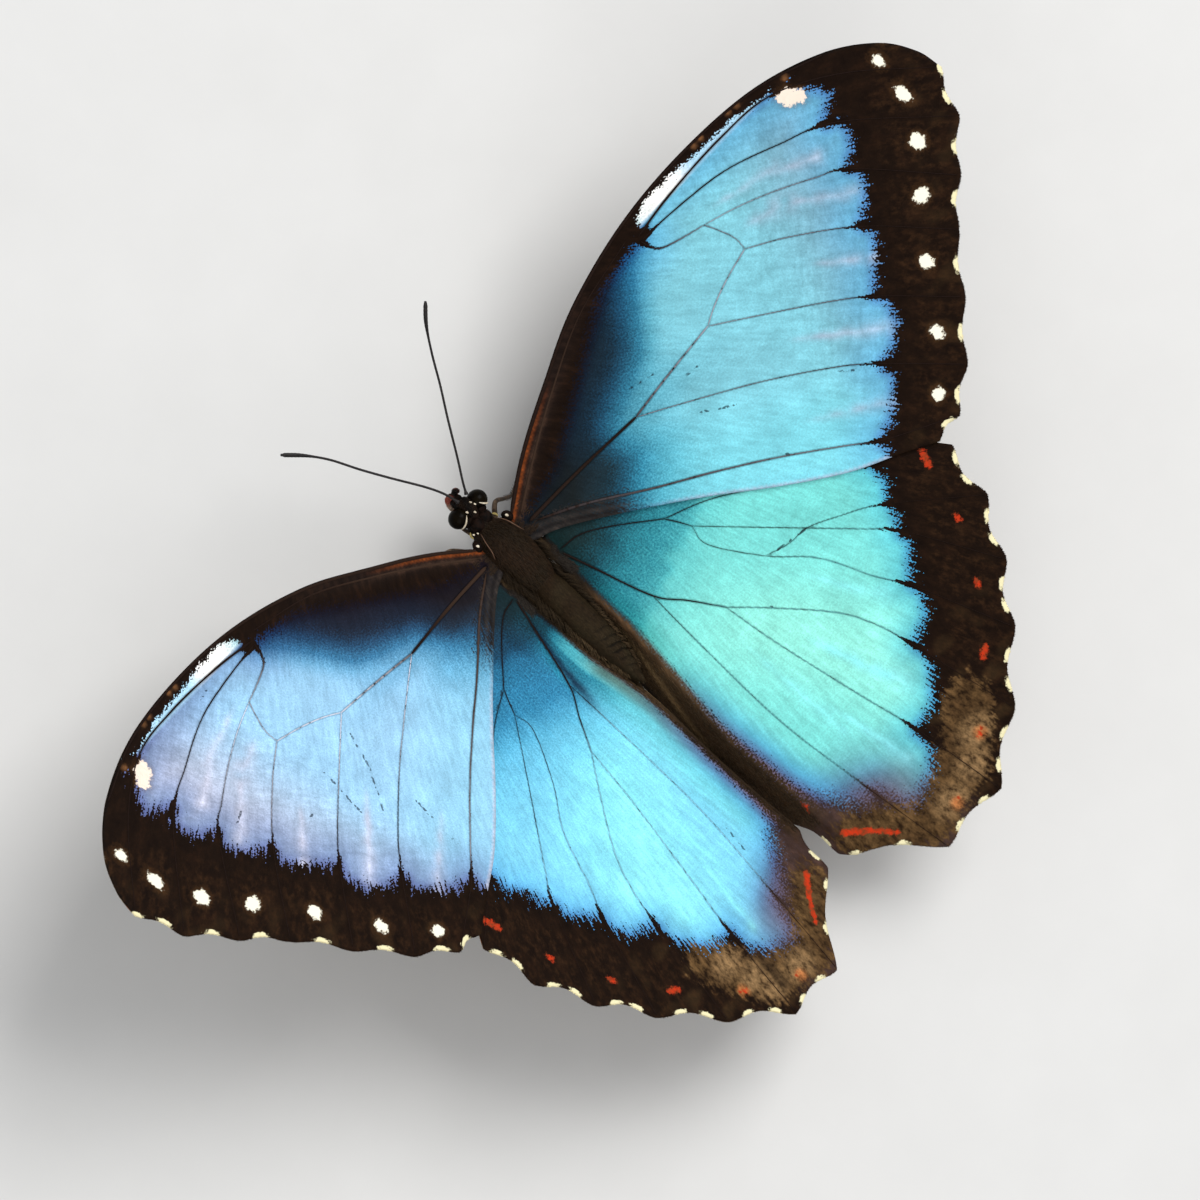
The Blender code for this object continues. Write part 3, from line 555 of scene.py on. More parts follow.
def within(points, outline):
    """Distance of flat points to a closed outline, positive inside."""
    closed = np.vstack([outline, outline[:1]])
    inside = np.zeros(len(points), bool)
    x, y = points.T
    for a, b in zip(closed, closed[1:]):
        if a[1] == b[1]:
            continue
        crosses = (a[1] > y) != (b[1] > y)
        inside ^= crosses & (x < a[0] + (y - a[1]) * (b[0] - a[0]) / (b[1] - a[1]))
    gap = gap_to(points, closed)
    return np.where(inside, gap, -gap)


def waves(points, size, seed):
    """Smooth random field of the given grain size, about -1 to 1."""
    rng = np.random.default_rng(seed)
    total = np.zeros(len(points))
    for _ in range(12):
        angle = rng.uniform(0, 2 * math.pi)
        length = size * rng.uniform(0.7, 1.6)
        way = np.array([math.cos(angle), math.sin(angle)]) * 2 * math.pi / length
        total += np.sin(points[:, :2] @ way + rng.uniform(0, 2 * math.pi))
    return total / 4


# ---------------------------------------------------------------- making meshes

def place_in_scene(obj):
    bpy.context.scene.collection.objects.link(obj)
    return obj


def new_object(name, verts, faces, material, floats=None, colours=None, vectors=None,
               uvs=None):
    """A smooth mesh object from points in millimetres, with its attributes, riding the body."""
    mesh = bpy.data.meshes.new(name)
    mesh.from_pydata((np.asarray(verts) * MM).tolist(), [], faces)
    opaque = {key: np.column_stack([rgb, np.ones(len(rgb))])
              for key, rgb in (colours or {}).items()}
    for kind, field, fields in (("FLOAT", "value", floats), ("FLOAT_COLOR", "color", opaque),
                                ("FLOAT_VECTOR", "vector", vectors)):
        for key, values in (fields or {}).items():
            layer = mesh.attributes.new(key, kind, "POINT")
            layer.data.foreach_set(field, np.asarray(values, np.float32).ravel())
    if uvs is not None:
        layer = mesh.uv_layers.new(name="OFBake")
        corners = np.zeros(len(mesh.loops), np.int32)
        mesh.loops.foreach_get("vertex_index", corners)
        layer.data.foreach_set("uv", np.asarray(uvs, np.float32)[corners].ravel())
    mesh.materials.append(material)
    mesh.shade_smooth()
    mesh.update()
    obj = place_in_scene(bpy.data.objects.new(name, mesh))
    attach(obj, "root")
    return obj


def outward(obj):
    """Turns the faces of closed pieces to point outwards."""
    work = bmesh.new()
    work.from_mesh(obj.data)
    bmesh.ops.recalc_face_normals(work, faces=work.faces)
    work.to_mesh(obj.data)
    work.free()
    return obj


def ring_faces(count, sides, start=0):
    """Faces of a closed tube of rings, with both ends closed."""
    faces = [tuple(start + k for k in reversed(range(sides)))]
    for r in range(count - 1):
        for k in range(sides):
            a = start + r * sides + k
            b = start + r * sides + (k + 1) % sides
            faces.append((a, b, b + sides, a + sides))
    faces.append(tuple(start + (count - 1) * sides + k for k in range(sides)))
    return faces


def tube(path, across, up, sides=8, first=(0, 0, 1), start=0):
    """Rings round a path. across and up are the half sizes at each of its points."""
    path = np.asarray(path, float)
    count = len(path)
    along = np.gradient(path, axis=0)
    along /= np.linalg.norm(along, axis=1)[:, None]
    normal = np.array(first, float)
    angle = 2 * math.pi * (np.arange(sides) + 0.5) / sides
    rings = []
    for k in range(count):
        normal = normal - along[k] * (normal @ along[k])
        normal /= np.linalg.norm(normal)
        side = np.cross(along[k], normal)
        rings.append(path[k] + np.outer(np.cos(angle) * up[k], normal)
                     + np.outer(np.sin(angle) * across[k], side))
    return np.vstack(rings), ring_faces(count, sides, start)


def add_tube(verts, faces, path, across, sides, first, up=None):
    """Adds one more tube to a piece that is made of several."""
    ring_verts, tube_faces = tube(path, across, across if up is None else up, sides, first,
                                  sum(map(len, verts)))
    verts.append(ring_verts)
    faces.extend(tube_faces)


# ---------------------------------------------------------------- materials

class Graph:
    """A material's nodes, with short ways to add them."""

    def __init__(self, name):
        self.material = bpy.data.materials.new(name)
        self.material.use_nodes = True
        self.tree = self.material.node_tree
        self.shader = self.tree.nodes["Principled BSDF"]

    def put(self, socket, value):
        if isinstance(value, bpy.types.NodeSocket):
            self.tree.links.new(value, socket)
        elif isinstance(value, tuple) and len(value) == 3 and socket.type == "RGBA":
            socket.default_value = (*value, 1.0)
        else:
            socket.default_value = value

    def node(self, kind, values=(), **settings):
        node = self.tree.nodes.new(kind)
        for key, value in settings.items():
            setattr(node, key, value)
        for key, value in dict(values).items():
            self.put(node.inputs[key], value)
        return node

    def attribute(self, name, output="Fac"):
        return self.node("ShaderNodeAttribute", attribute_name=name).outputs[output]

    def place(self):
        """Coordinates of the piece itself, in metres."""
        return self.node("ShaderNodeTexCoord").outputs["Object"]

    def scaled(self, vector, scale):
        return self.node("ShaderNodeMapping", {"Vector": vector, "Scale": scale}).outputs[0]

    def noise(self, vector, scale, detail, rough):
        return self.node("ShaderNodeTexNoise", {"Vector": vector, "Scale": scale,
                         "Detail": detail, "Roughness": rough}).outputs["Fac"]

    def maths(self, operation, first, *others):
        """The operation on all values, from left to right."""
        for other in others:
            first = self.node("ShaderNodeMath", {0: first, 1: other},
                              operation=operation).outputs[0]
        return first

    def plus(self, *values):
        return self.maths("ADD", *values)

    def minus(self, value, less):
        return self.maths("SUBTRACT", value, less)

    def times(self, *values):
        return self.maths("MULTIPLY", *values)

    def swing(self, noise, gain):
        """Noise about zero, of this strength."""
        return self.times(self.minus(noise, 0.5), gain)

    def step(self, value, low, high, to_low=0.0, to_high=1.0):
        return self.node("ShaderNodeMapRange", {"Value": value, "From Min": low,
                         "From Max": high, "To Min": to_low, "To Max": to_high},
                         interpolation_type="SMOOTHSTEP").outputs[0]

    def mix(self, factor, a, b, blend_type="MIX"):
        node = self.node("ShaderNodeMix", data_type="RGBA", blend_type=blend_type)
        self.put(node.inputs[0], factor)
        self.put(node.inputs[6], a)
        self.put(node.inputs[7], b)
        return node.outputs[2]

    def tinted(self, name, tint):
        """The colour attribute of that name, multiplied by a tint."""
        return self.mix(1.0, self.attribute(name, "Color"), tint, "MULTIPLY")

    def ramp(self, value, stops):
        node = self.node("ShaderNodeValToRGB", {"Fac": value})
        band = node.color_ramp
        while len(band.elements) < len(stops):
            band.elements.new(0.5)
        for element, (place, colour) in zip(band.elements, stops):
            element.position = place
            element.color = (*colour, 1.0)
        return node.outputs["Color"]

    def bump(self, height, strength, distance=0.0001):
        node = self.node("ShaderNodeBump", {"Height": height, "Strength": strength,
                         "Distance": distance})
        self.put(self.shader.inputs["Normal"], node.outputs[0])

    def finish(self, colour, rough, specular, metallic=0.0, sheen=0.0, sheen_tint=(1, 1, 1)):
        self.put(self.shader.inputs["Base Color"], colour)
        self.put(self.shader.inputs["Roughness"], rough)
        self.put(self.shader.inputs["Metallic"], metallic)
        self.shader.inputs["Specular IOR Level"].default_value = specular
        self.shader.inputs["Sheen Weight"].default_value = sheen
        self.shader.inputs["Sheen Tint"].default_value = (*sheen_tint, 1.0)
        return self.material


def upper_material():
    """Blue scales with a dark margin, spots and dashes, drawn from the wing's attributes."""
    g = Graph("wing_upper")
    flat = g.attribute("flat", "Vector")
    lie = g.attribute("lie", "Vector")
    strokes = g.noise(g.scaled(lie, (0.55, 4.3, 1.0)), 1.0, 1.5, 0.5)
    grain = g.noise(flat, 4.5, 2.0, 0.7)
    speckle = g.noise(flat, 4.3, 1.0, 0.5)
    fleck = g.noise(g.scaled(lie, (0.8, 1.5, 1.0)), 1.0, 5.0, 0.7)
    ruffle = g.noise(g.scaled(lie, (1.5, 0.65, 1.0)), 1.0, 4.0, 0.6)
    rows = g.noise(g.scaled(lie, (0.35, 1.6, 1.0)), 1.0, 4.0, 0.6)
    patches = g.noise(flat, 0.5, 3.0, 0.6)
    broken = g.noise(flat, 1.3, 2.0, 0.6)

    # The blue, dusted with dark scales towards the wing's base
    tone = g.attribute("tone")
    dusting = g.swing(grain, g.times(tone, g.minus(1.0, tone), 1.9))
    shade = g.ramp(g.plus(tone, dusting), BLUE_SHADES)
    # Darker beside the veins: partly darker scales, partly painted shadow of the raised veins
    vein_shadow_and_scales = g.maths("MAXIMUM", g.step(g.attribute("vein"), -0.02, 0.15, 0.45, 1.0),
                      g.times(g.attribute("vein_pale"), 0.85))
    # The ruffle noise tints the colour as well as the bump: painted shading of the wing's ruffles
    light = g.times(g.step(rows, 0.25, 0.75, 0.87, 1.11), g.step(grain, 0.2, 0.8, 0.84, 1.12),
                    g.step(patches, 0.25, 0.75, 0.92, 1.06),
                    g.plus(1.0, g.swing(ruffle, g.attribute("ruffle"))), vein_shadow_and_scales)
    grey = g.node("ShaderNodeCombineColor", {0: light, 1: light, 2: light}).outputs[0]
    blue = g.mix(1.0, g.tinted("blue_colour", shade), grey, "MULTIPLY")
    allowed = g.step(g.attribute("blue"), 0.0, 3.4, 0.64, 0.80)
    specks = g.minus(g.noise(flat, 3.6, 2.0, 0.6), allowed)
    blue = g.mix(g.step(specks, 0.0, 0.05, 0.0, 0.8), blue, SPECK_DARK)

    # The dark ground, with brown clouds and a tan corner
    clouds = g.noise(g.scaled(lie, (0.5, 0.9, 1.0)), 0.9, 5.0, 0.65)
    ground = g.tinted("ground_colour", g.ramp(clouds, CLOUD_TINTS))
    flecks = g.times(g.step(fleck, 0.42, 0.80), g.attribute("cloudy"))
    ground = g.mix(flecks, ground, FLECK_BROWN)
    drift = g.plus(g.swing(fleck, 1.5), g.swing(strokes, 0.7))
    tan = g.attribute("tan")
    is_tan = g.times(g.step(g.plus(tan, drift), 0.26, 0.70), g.step(tan, 0.0, 0.15))
    ground = g.mix(is_tan, ground, g.tinted("tan_colour", g.ramp(fleck, TAN_TINTS)))

    # Ragged edge between them
    ragged = g.plus(g.swing(strokes, g.attribute("soft")), g.swing(speckle, g.attribute("dust")))
    edge = g.minus(g.plus(g.attribute("blue"), ragged), 0.24)
    is_blue = g.step(g.maths("DIVIDE", edge, g.attribute("crisp")), -1.0, 1.0)
    colour = g.mix(is_blue, ground, blue)

    # Scratches, spots, red marks and dashes
    scratch = g.plus(g.attribute("scratch"), g.step(broken, 0.42, 0.60, 0.16, 0.0))
    wobble = g.swing(g.noise(flat, 1.9, 4.0, 0.75), 1.5)
    spot = g.plus(g.attribute("spot"), wobble)
    cream = g.mix(g.attribute("apical"), SPOT_CREAM, SPOT_PEACH)
    red = g.mix(g.step(broken, 0.3, 0.7), MARK_RED, MARK_RUST)
    for share, over in (
            (g.step(scratch, 0.10, 0.20, 0.8, 0.0), SCRATCH_DARK),
            (g.step(spot, -0.75, 0.10, 0.0, 0.35), SPOT_HALO),
            (g.step(spot, -0.08, 0.12), cream),
            (g.step(g.plus(g.attribute("red"), wobble), -0.12, 0.20), red),
            (g.step(g.plus(g.attribute("dash"), g.times(wobble, 0.5)), -0.05, 0.10), DASH_CREAM)):
        colour = g.mix(share, colour, over)

    g.bump(g.plus(g.times(rows, 0.6), g.times(grain, 0.4),
                  g.times(ruffle, g.attribute("ruffle"))), 0.4, 0.00015)
    return g.finish(colour, g.step(is_blue, 0.0, 1.0, 0.62, 0.42), 0.04,
                    metallic=g.times(is_blue, 0.25))


def under_material():
    """Brown underside with ringed eyespots and pale lines."""
    g = Graph("wing_under")
    flat = g.attribute("flat", "Vector")
    lie = g.attribute("lie", "Vector")
    grain = g.noise(flat, 4.0, 2.0, 0.7)
    clouds = g.noise(g.scaled(lie, (0.5, 1.3, 1.0)), 0.8, 5.0, 0.65)
    ground = g.tinted("ground_colour", g.ramp(clouds, UNDER_TINTS))
    ground = g.mix(g.step(grain, 0.45, 0.8, 0.0, 0.35), ground, (0.20, 0.13, 0.07))
    wobble = g.swing(g.noise(flat, 1.6, 3.0, 0.6), 0.10)
    ring = g.plus(g.attribute("ocellus"), wobble)
    colour = g.mix(g.step(ring, 0.97, 1.03, 1.0, 0.0), ground, g.ramp(ring, EYESPOT_RINGS))
    dash = g.plus(g.attribute("dash"), wobble)
    colour = g.mix(g.step(dash, -0.05, 0.10), colour, (0.72, 0.64, 0.42))
    g.bump(g.plus(clouds, g.times(grain, 0.5)), 0.35)
    return g.finish(colour, 0.62, 0.08)


def vein_material():
    """Dark veins that run pale in places."""
    g = Graph("wing_vein")
    flat = g.attribute("flat", "Vector")
    pale = g.times(g.attribute("pale"), g.step(g.noise(flat, 1.1, 3.0, 0.7), 0.32, 0.52))
    dark = g.mix(g.noise(flat, 3.0, 2.0, 0.6), (0.006, 0.004, 0.004), (0.024, 0.012, 0.008))
    colour = g.mix(pale, dark, g.attribute("pale_colour", "Color"))
    colour = g.mix(g.attribute("brown"), colour, (0.050, 0.028, 0.018))
    g.bump(g.noise(flat, 6.0, 2.0, 0.6), 0.4)
    return g.finish(colour, 0.5, 0.03)


def hair_material():
    """Hair and long scales, coloured tuft by tuft."""
    g = Graph("hair")
    fine = g.noise(g.place(), 9000.0, 2.0, 0.6)
    tint = g.ramp(fine, ((0.3, (0.75, 0.74, 0.72)), (0.7, (1.3, 1.28, 1.24))))
    g.bump(fine, 0.3, 0.00005)
    return g.finish(g.tinted("hair", tint), 0.6, 0.10, sheen=0.05, sheen_tint=(0.8, 0.65, 0.5))


def skin_material():
    """Body under its hair: the same colours, a little darker."""
    g = Graph("body_skin")
    fine = g.noise(g.scaled(g.place(), (1.0, 0.35, 1.0)), 5000.0, 4.0, 0.65)
    tint = g.ramp(fine, ((0.3, (0.55, 0.53, 0.5)), (0.7, (1.35, 1.3, 1.25))))
    g.bump(fine, 0.6)
    return g.finish(g.tinted("hair", tint), 0.7, 0.06)


def shell_material(name, dark, light, scale, rough, specular, relief):
    """Horny surface of two near colours, with a fine grain."""
    g = Graph(name)
    place = g.place()
    patches = g.noise(place, scale, 4.0, 0.6)
    g.bump(g.noise(place, scale * 4, 3.0, 0.6), relief, 0.00005)
    return g.finish(g.mix(g.step(patches, 0.35, 0.65), dark, light),
                    g.step(patches, 0.3, 0.7, rough * 0.8, rough * 1.2), specular)


def eye_material():
    """Glossy compound eye with fine facets and a darker heart."""
    g = Graph("eye")
    place = g.place()
    cells = g.node("ShaderNodeTexVoronoi", {"Vector": place, "Scale": 11000.0},
                   feature="DISTANCE_TO_EDGE").outputs["Distance"]
    patches = g.noise(place, 900.0, 3.0, 0.6)
    colour = g.mix(g.step(patches, 0.35, 0.68), (0.0012, 0.0008, 0.0004), (0.006, 0.0038, 0.0010))
    colour = g.mix(g.step(cells, 0.0, 0.10, 0.6, 0.0), colour, (0.006, 0.004, 0.003))
    g.bump(cells, 0.25, 0.00003)
    return g.finish(colour, 0.26, 0.035)


UPPER = upper_material()
UNDER = under_material()
VEIN = vein_material()
HAIR = hair_material()
SKIN = skin_material()
EYE = eye_material()
FEELER, LEG, CLAW, TONGUE, LOBE, SKIN_FOLD, CREAM = (
    shell_material(name, *look) for name, look in SHELLS.items())


# ---------------------------------------------------------------- wings

def fold_line(side, v):
    """Place of the hindwing's fold at v, on the flat wing."""
    fold = FOLD[side]
    v = np.asarray(v, float)
    behind = np.maximum(0.0, v - fold["from_v"])
    line = np.maximum(fold["limit"], fold["start"] + fold["drift"] * behind)
    line = line - 0.4 * bell(v - 8.5, 3.5)
    return line - fold["bulge"] * bell(v - fold["bulge_v"], fold["bulge_reach"])


def band_of(side, v):
    """Width of the brown band on top beside the hindwing's fold."""
    return np.interp(v, *np.array(BAND[side]).T)


def spread_point(side, u, v, rise):
    """Points of the spread wing, risen above its hinge plane."""
    rise = rise + WING_CAMBER * np.sin(math.pi * np.clip(u / CAMBER_SPAN, 0, 1))
    x = HINGE_HALF_SPAN + u * math.cos(DIHEDRAL) - rise * math.sin(DIHEDRAL)
    z = HINGE_HEIGHT + u * math.sin(DIHEDRAL) + rise * math.cos(DIHEDRAL)
    return np.stack([x if side == "left" else -x, v + HINGE_Y, z], -1)


def sheet_point(kind, side, u, v):
    """Points of a wing's middle sheet."""
    lift = SKIN_LIFT[kind]
    if kind == "fore":
        return spread_point(side, u, v, lift)
    fold = fold_line(side, v)
    past = np.maximum(0.0, fold - u)
    setting = FOLD[side]
    t = np.clip((v - LEAN_FROM_V) / (LEAN_TO_V - LEAN_FROM_V), 0, 1)
    lean = setting["lean"] + (setting["lean_behind"] - setting["lean"]) * t
    bend = np.minimum(math.pi / 2 - DIHEDRAL - lean, past / FOLD_RADIUS)
    straight = past - FOLD_RADIUS * bend
    run = FOLD_RADIUS * np.sin(bend) + straight * np.cos(bend)
    drop = FOLD_RADIUS * (1 - np.cos(bend)) + straight * np.sin(bend)
    return spread_point(side, np.where(past > 0, fold - run, u), v, lift - drop)


def sheet_normal(kind, side, u, v):
    """Upward normals of a wing's middle sheet."""
    near = NORMAL_STEP
    along_u = sheet_point(kind, side, u + near, v) - sheet_point(kind, side, u - near, v)
    along_v = sheet_point(kind, side, u, v + near) - sheet_point(kind, side, u, v - near)
    normal = np.cross(along_u, along_v)
    normal /= np.linalg.norm(normal, axis=1)[:, None]
    return normal if side == "left" else -normal


def scallops(vein_ends, depth):
    """Outer margin from vein end to vein end, each bay drawn in by depth at its middle."""
    edge = []
    ends = [np.array(p) for p in vein_ends]
    for start, end in zip(ends, ends[1:]):
        along = end - start
        inward = np.array([-along[1], along[0]]) / np.linalg.norm(along)
        for t in np.arange(20) / 20:
            edge.append(start + along * t + inward * depth * math.sin(math.pi * t) ** 2)
    return np.array(edge + [ends[-1]])


OUTER_MARGIN = {
    "fore": scallops(FOREWING_VEIN_ENDS, SCALLOP["fore"]),
    "hind": scallops(HINDWING_VEIN_ENDS, SCALLOP["hind"]),
}
BLUE_EDGE = {kind: evenly(np.array(outline), 0.5) for kind, outline in BLUE_OUTLINE.items()}


def wing_outline(kind):
    """Closed outline of a flat wing, at even steps."""
    costa = FOREWING_COSTA if kind == "fore" else HINDWING_COSTA
    inner = FOREWING_HIND_EDGE if kind == "fore" else HINDWING_INNER_EDGE
    whole = np.vstack([curve(costa, 12)[:-1], OUTER_MARGIN[kind][:-1], curve(inner, 12)])
    return evenly(whole, LATTICE)


def vein_names(kind, side):
    """The left hindwing lacks one branch."""
    return [n for n in VEINS[kind] if (kind, side, n) != ("hind", "left", "m1")]


def lie_of(kind, points):
    """Coordinates along and across the run of a wing's scales."""
    centre, spread = SCALE_FAN[kind]
    away = points - centre
    reach = np.linalg.norm(away, axis=1)
    return np.stack([reach, np.arctan2(away[:, 1], away[:, 0]) * spread, 0 * reach], 1)


def dash_field(kind, points):
    """Positive in the cream dashes of the fringe."""
    margin = OUTER_MARGIN[kind]
    field = np.full(len(points), -5.0)
    near, along = to_path(points, margin)
    for centre in DASHES[kind]:
        _, place = to_path(np.array([centre]), margin)
        t = (along - place[0]) / DASH_HALF_LENGTH[kind]
        across = (near - DASH_INSET) / DASH_DEPTH
        field = np.maximum(field, 0.4 * (1 - np.sqrt(t ** 2 + across ** 2)))
    return field


def fore_ground(points, mottle):
    """Colour of the forewing's dark ground, above."""
    u, v = points.T
    margin = gap_to(points, OUTER_MARGIN["fore"])
    costa = gap_to(points, curve(FOREWING_COSTA, CURVE_STEPS))
    hem = gap_to(points, curve(FOREWING_HIND_EDGE, CURVE_STEPS))
    orange_streak = bell(costa - 0.52 - 0.01 * u, 0.17) * smooth(u, 14, 4)
    pale_streak = bell(costa - 1.35, 0.22) * smooth(u, 16, 4)
    hem_folds = blend((0.013, 0.011, 0.011), (0.034, 0.029, 0.027),
                      0.5 + 0.5 * np.sin(hem * 6.5 + 0.3 * u))
    return layered(
        np.tile(GROUND_BLACK, (len(points), 1)),
        (GROUND_BROWN, 0.35 * smooth(mottle, 0.5, 1.1) * smooth(margin, 6, 1)),
        ((0.22, 0.10, 0.04), 0.7 * smooth(nearest(points, COSTA_SPECKS), 0.55, 0.1)),
        ((0.016, 0.0095, 0.0075), smooth(costa, 2.8, 0.6) * smooth(u, 30, 8)),
        ((0.24, 0.056, 0.011), 0.85 * orange_streak),
        ((0.006, 0.004, 0.003), smooth(costa, 0.36, 0.12)),
        ((0.085, 0.048, 0.033), 0.55 * pale_streak),
        (hem_folds, smooth(hem, 5.0, 3.5) * smooth(u, 18, 12) * smooth(v, -1.0, 1.0)),
    )


def ridge_highlight_share(past, v):
    """How strongly the painted highlight along the wall's tan ridge shows, past the fold."""
    return bell(past - np.interp(v, *RIDGE), RIDGE_WIDTH) * smooth(v, 12, 16)


def hind_ground(side, points, mottle):
    """Colour of the hindwing's dark ground, above, with where it is tan, and that tan."""
    u, v = points.T
    glow = nearest(points, TAN_GLOWS[side], 1.25, 0.9)
    tan_colour = layered(
        (0.062, 0.033, 0.013),
        ((0.098, 0.054, 0.021), smooth(mottle, 0.2, 0.9)),
        ((0.24, 0.145, 0.066), 0.85 * smooth(glow, 2.9, 0.4)),
    )
    if side == "left":
        # Painted shade in the crease down the tan corner, over its vein
        pleat = gap_to(points, CORNER_PLEAT)
        tan_colour = blend(tan_colour, (0.024, 0.013, 0.006), 0.75 * smooth(pleat, 1.1, 0.2))
    ember = nearest(points, EMBERS)
    tan_colour = blend(tan_colour, (0.42, 0.14, 0.04), 0.7 * smooth(ember, 1.1, 0.3))
    colour = layered(
        np.tile(GROUND_BLACK, (len(points), 1)),
        (GROUND_BROWN, 0.5 * smooth(mottle, 0.6, 1.1) * smooth(v, 36, 44)),
        ((0.058, 0.034, 0.030), 0.9 * smooth(v - 0.2 * u, 40.5, 44.0) * smooth(u, 14, 8)),
    )
    # The wall beside the abdomen: warm brown at the fold, a painted highlight along its tan ridge,
    # and dark below
    past = fold_line(side, v) - u
    wall = smooth(past + band_of(side, v), -0.5, 0.2) * smooth(v, 47, 42)
    wall_colour = layered(
        (0.105, 0.060, 0.030),
        ((0.062, 0.038, 0.019), smooth(past, -0.1, 1.4)),
        ((0.046, 0.027, 0.014), smooth(v, 24, 29)),
    )
    wall_colour = blend((0.026, 0.018, 0.011), wall_colour, smooth(v, 8, 14))
    # Painted shade darkens the left wall
    wall_colour = layered(
        wall_colour * WALL_SHADE[side],
        ((0.17, 0.108, 0.050), 0.9 * ridge_highlight_share(past, v) * smooth(v, 34, 26)),
        ((0.012, 0.008, 0.005), smooth(past, 4.0, 4.9)),
    )
    tan = smooth(gap_to(points, TAN_CORNER[side]), 4.8, 0.4) * (1 - wall)
    return blend(colour, wall_colour, wall), tan, tan_colour


def blue_of(kind, side, points):
    """Colour of a wing's blue."""
    u, v = points.T
    named = BLUES[(kind, side)]
    from_fold = u - fold_line(side, v)
    edge_share = 1.0
    if kind == "fore":
        deep = 6.5
        streak_colour = STREAK_COLOUR[side]
        hind = smooth(v - 0.62 * u, -12.0, -1.0)
        outer = smooth(u + 0.25 * v, 35.0, 49.0) * smooth(v - 0.62 * u, -6.0, -22.0)
        outer = np.maximum(outer, 0.7 * smooth(u + 0.3 * v, 36.0, 46.0))
    else:
        deep = 5.0
        streak_colour = (0.30, 0.90, 0.93)
        far, near = (7.0, 1.5) if side == "left" else (3.6, 0.6)
        hind = smooth(from_fold, far, near)
        outer = bell(u - 0.55 * (v - 12) - 2, 8.0) * smooth(v, 14, 28)
        if side == "left":
            edge_share = 1.0 - 0.8 * smooth(from_fold, 6.0, 3.0) * smooth(v, 43, 37)
    border = within(points, BLUE_EDGE[kind])
    colour = layered(
        named["cell"], (named["hind"], hind), (named["outer"], outer),
        (named["border"], 0.8 * edge_share * smooth(border, deep, 0.3)),
        (named["rim"], 0.75 * edge_share * smooth(border, 1.7, 0.0)),
    )
    # Painted highlights along the folds between the veins, each with a brighter core
    for start, end, width, strength in STREAKS[kind]:
        gap, along = to_path(points, np.array([start, end]))
        share = along / math.dist(start, end)
        fade = smooth(share, 0.0, 0.45) * (0.75 + 0.35 * waves(points, 2.0, 23))
        halo = strength * fade * bell(gap, width * (0.5 + 0.9 * share))
        core = 0.6 * strength * fade * bell(gap, 0.20)
        colour = layered(colour, (streak_colour, np.clip(halo, 0, 1)),
                         (np.array(streak_colour) * 1.25, np.clip(core, 0, 0.8)))
    colour = colour * (1 + 0.05 * waves(points, 7.0, 11))[:, None]
    if kind == "fore":
        costal = smooth(v, -13.3, -13.7) * smooth(u, 30.6, 31.4)
        costal_strip = blend((1.15, 1.08, 1.02), (0.45, 0.72, 0.90), smooth(u, 36.5, 40.5))
        hem = gap_to(points, curve(FOREWING_HIND_EDGE, CURVE_STEPS))
        colour = layered(colour, (costal_strip, costal),
                         (streak_colour, 0.8 * smooth(hem, 0.45, 0.15) * smooth(u, 6, 14)))
    else:
        inwards = smooth(u, 14.0, 4.0)
        violet = smooth(v - 0.25 * u, 37.0 if side == "right" else 40.0, 45.5) * inwards
        colour = layered(
            colour, ((0.085, 0.105, 0.26), 0.85 * violet),
            ((0.15, 0.10, 0.12), 0.8 * smooth(v - 0.2 * u, 42.5, 47.0) * inwards),
        )
        if side == "left":
            beside_fold = smooth(from_fold, 2.6, 0.9) * smooth(v, 13.0, 17.0)
            colour = blend(colour, (0.14, 0.22, 0.18), 0.9 * beside_fold * smooth(v, 40, 30))
            # Painted shade down the left hindwing's pleat, over its vein's own colour
            for path, widths, shade, strength in PLEAT:
                gap, along = to_path(points, evenly(curve(path, CURVE_STEPS), 0.2))
                share = along / along.max()
                gap = gap + 0.10 * waves(points, 1.2, 31)
                wide = np.interp(share, (0, 0.5, 1), widths)
                ends = smooth(share, 0.0, 0.15) * smooth(share, 1.0, 0.6)
                colour = blend(colour, shade, strength * ends * bell(gap, wide))
        from_band = from_fold - band_of(side, v)
        later = smooth(v, 18, 36)
        colour = layered(
            colour, ((0.09, 0.34, 0.62), 0.75 * smooth(from_band, 4.2, 0.8) * later),
            ((0.10, 0.10, 0.24), 0.75 * smooth(from_band, 1.9, 0.4) * later),
            ((0.17, 0.09, 0.10), 0.7 * smooth(from_band, 0.6, 0.1)),
        )
    return np.clip(colour, 0.0, 1.1)


def tone_of(kind, side, points):
    """Strength of the blue, weak at the wing's base."""
    u, v = points.T
    if kind == "hind":
        slant, distances, strengths = HIND_TONE[side]
        tone = np.interp(v + slant * u + 0.3 * waves(points, 2.5, 41), distances, strengths)
        if side == "left":
            beside_fold = smooth(u - fold_line(side, v), 3.0, 1.7) * smooth(v, 7.5, 13.0)
            tone = np.maximum(tone, (0.60 + 0.2 * smooth(v, 13, 16)) * beside_fold)
        return tone
    out = -within(points, evenly(np.array(SHADE_OUTLINE), 0.8))
    if side == "left":
        out = out - 1.0 * smooth(v, 1.0, -3.5) + 1.8 * smooth(v, 0.5, 3.0)
    reach = 2.7 + 3.6 * smooth(v, -3.0, 2.0)
    return np.interp(out / np.where(out > 0, reach, 2.9), *FORE_TONE)


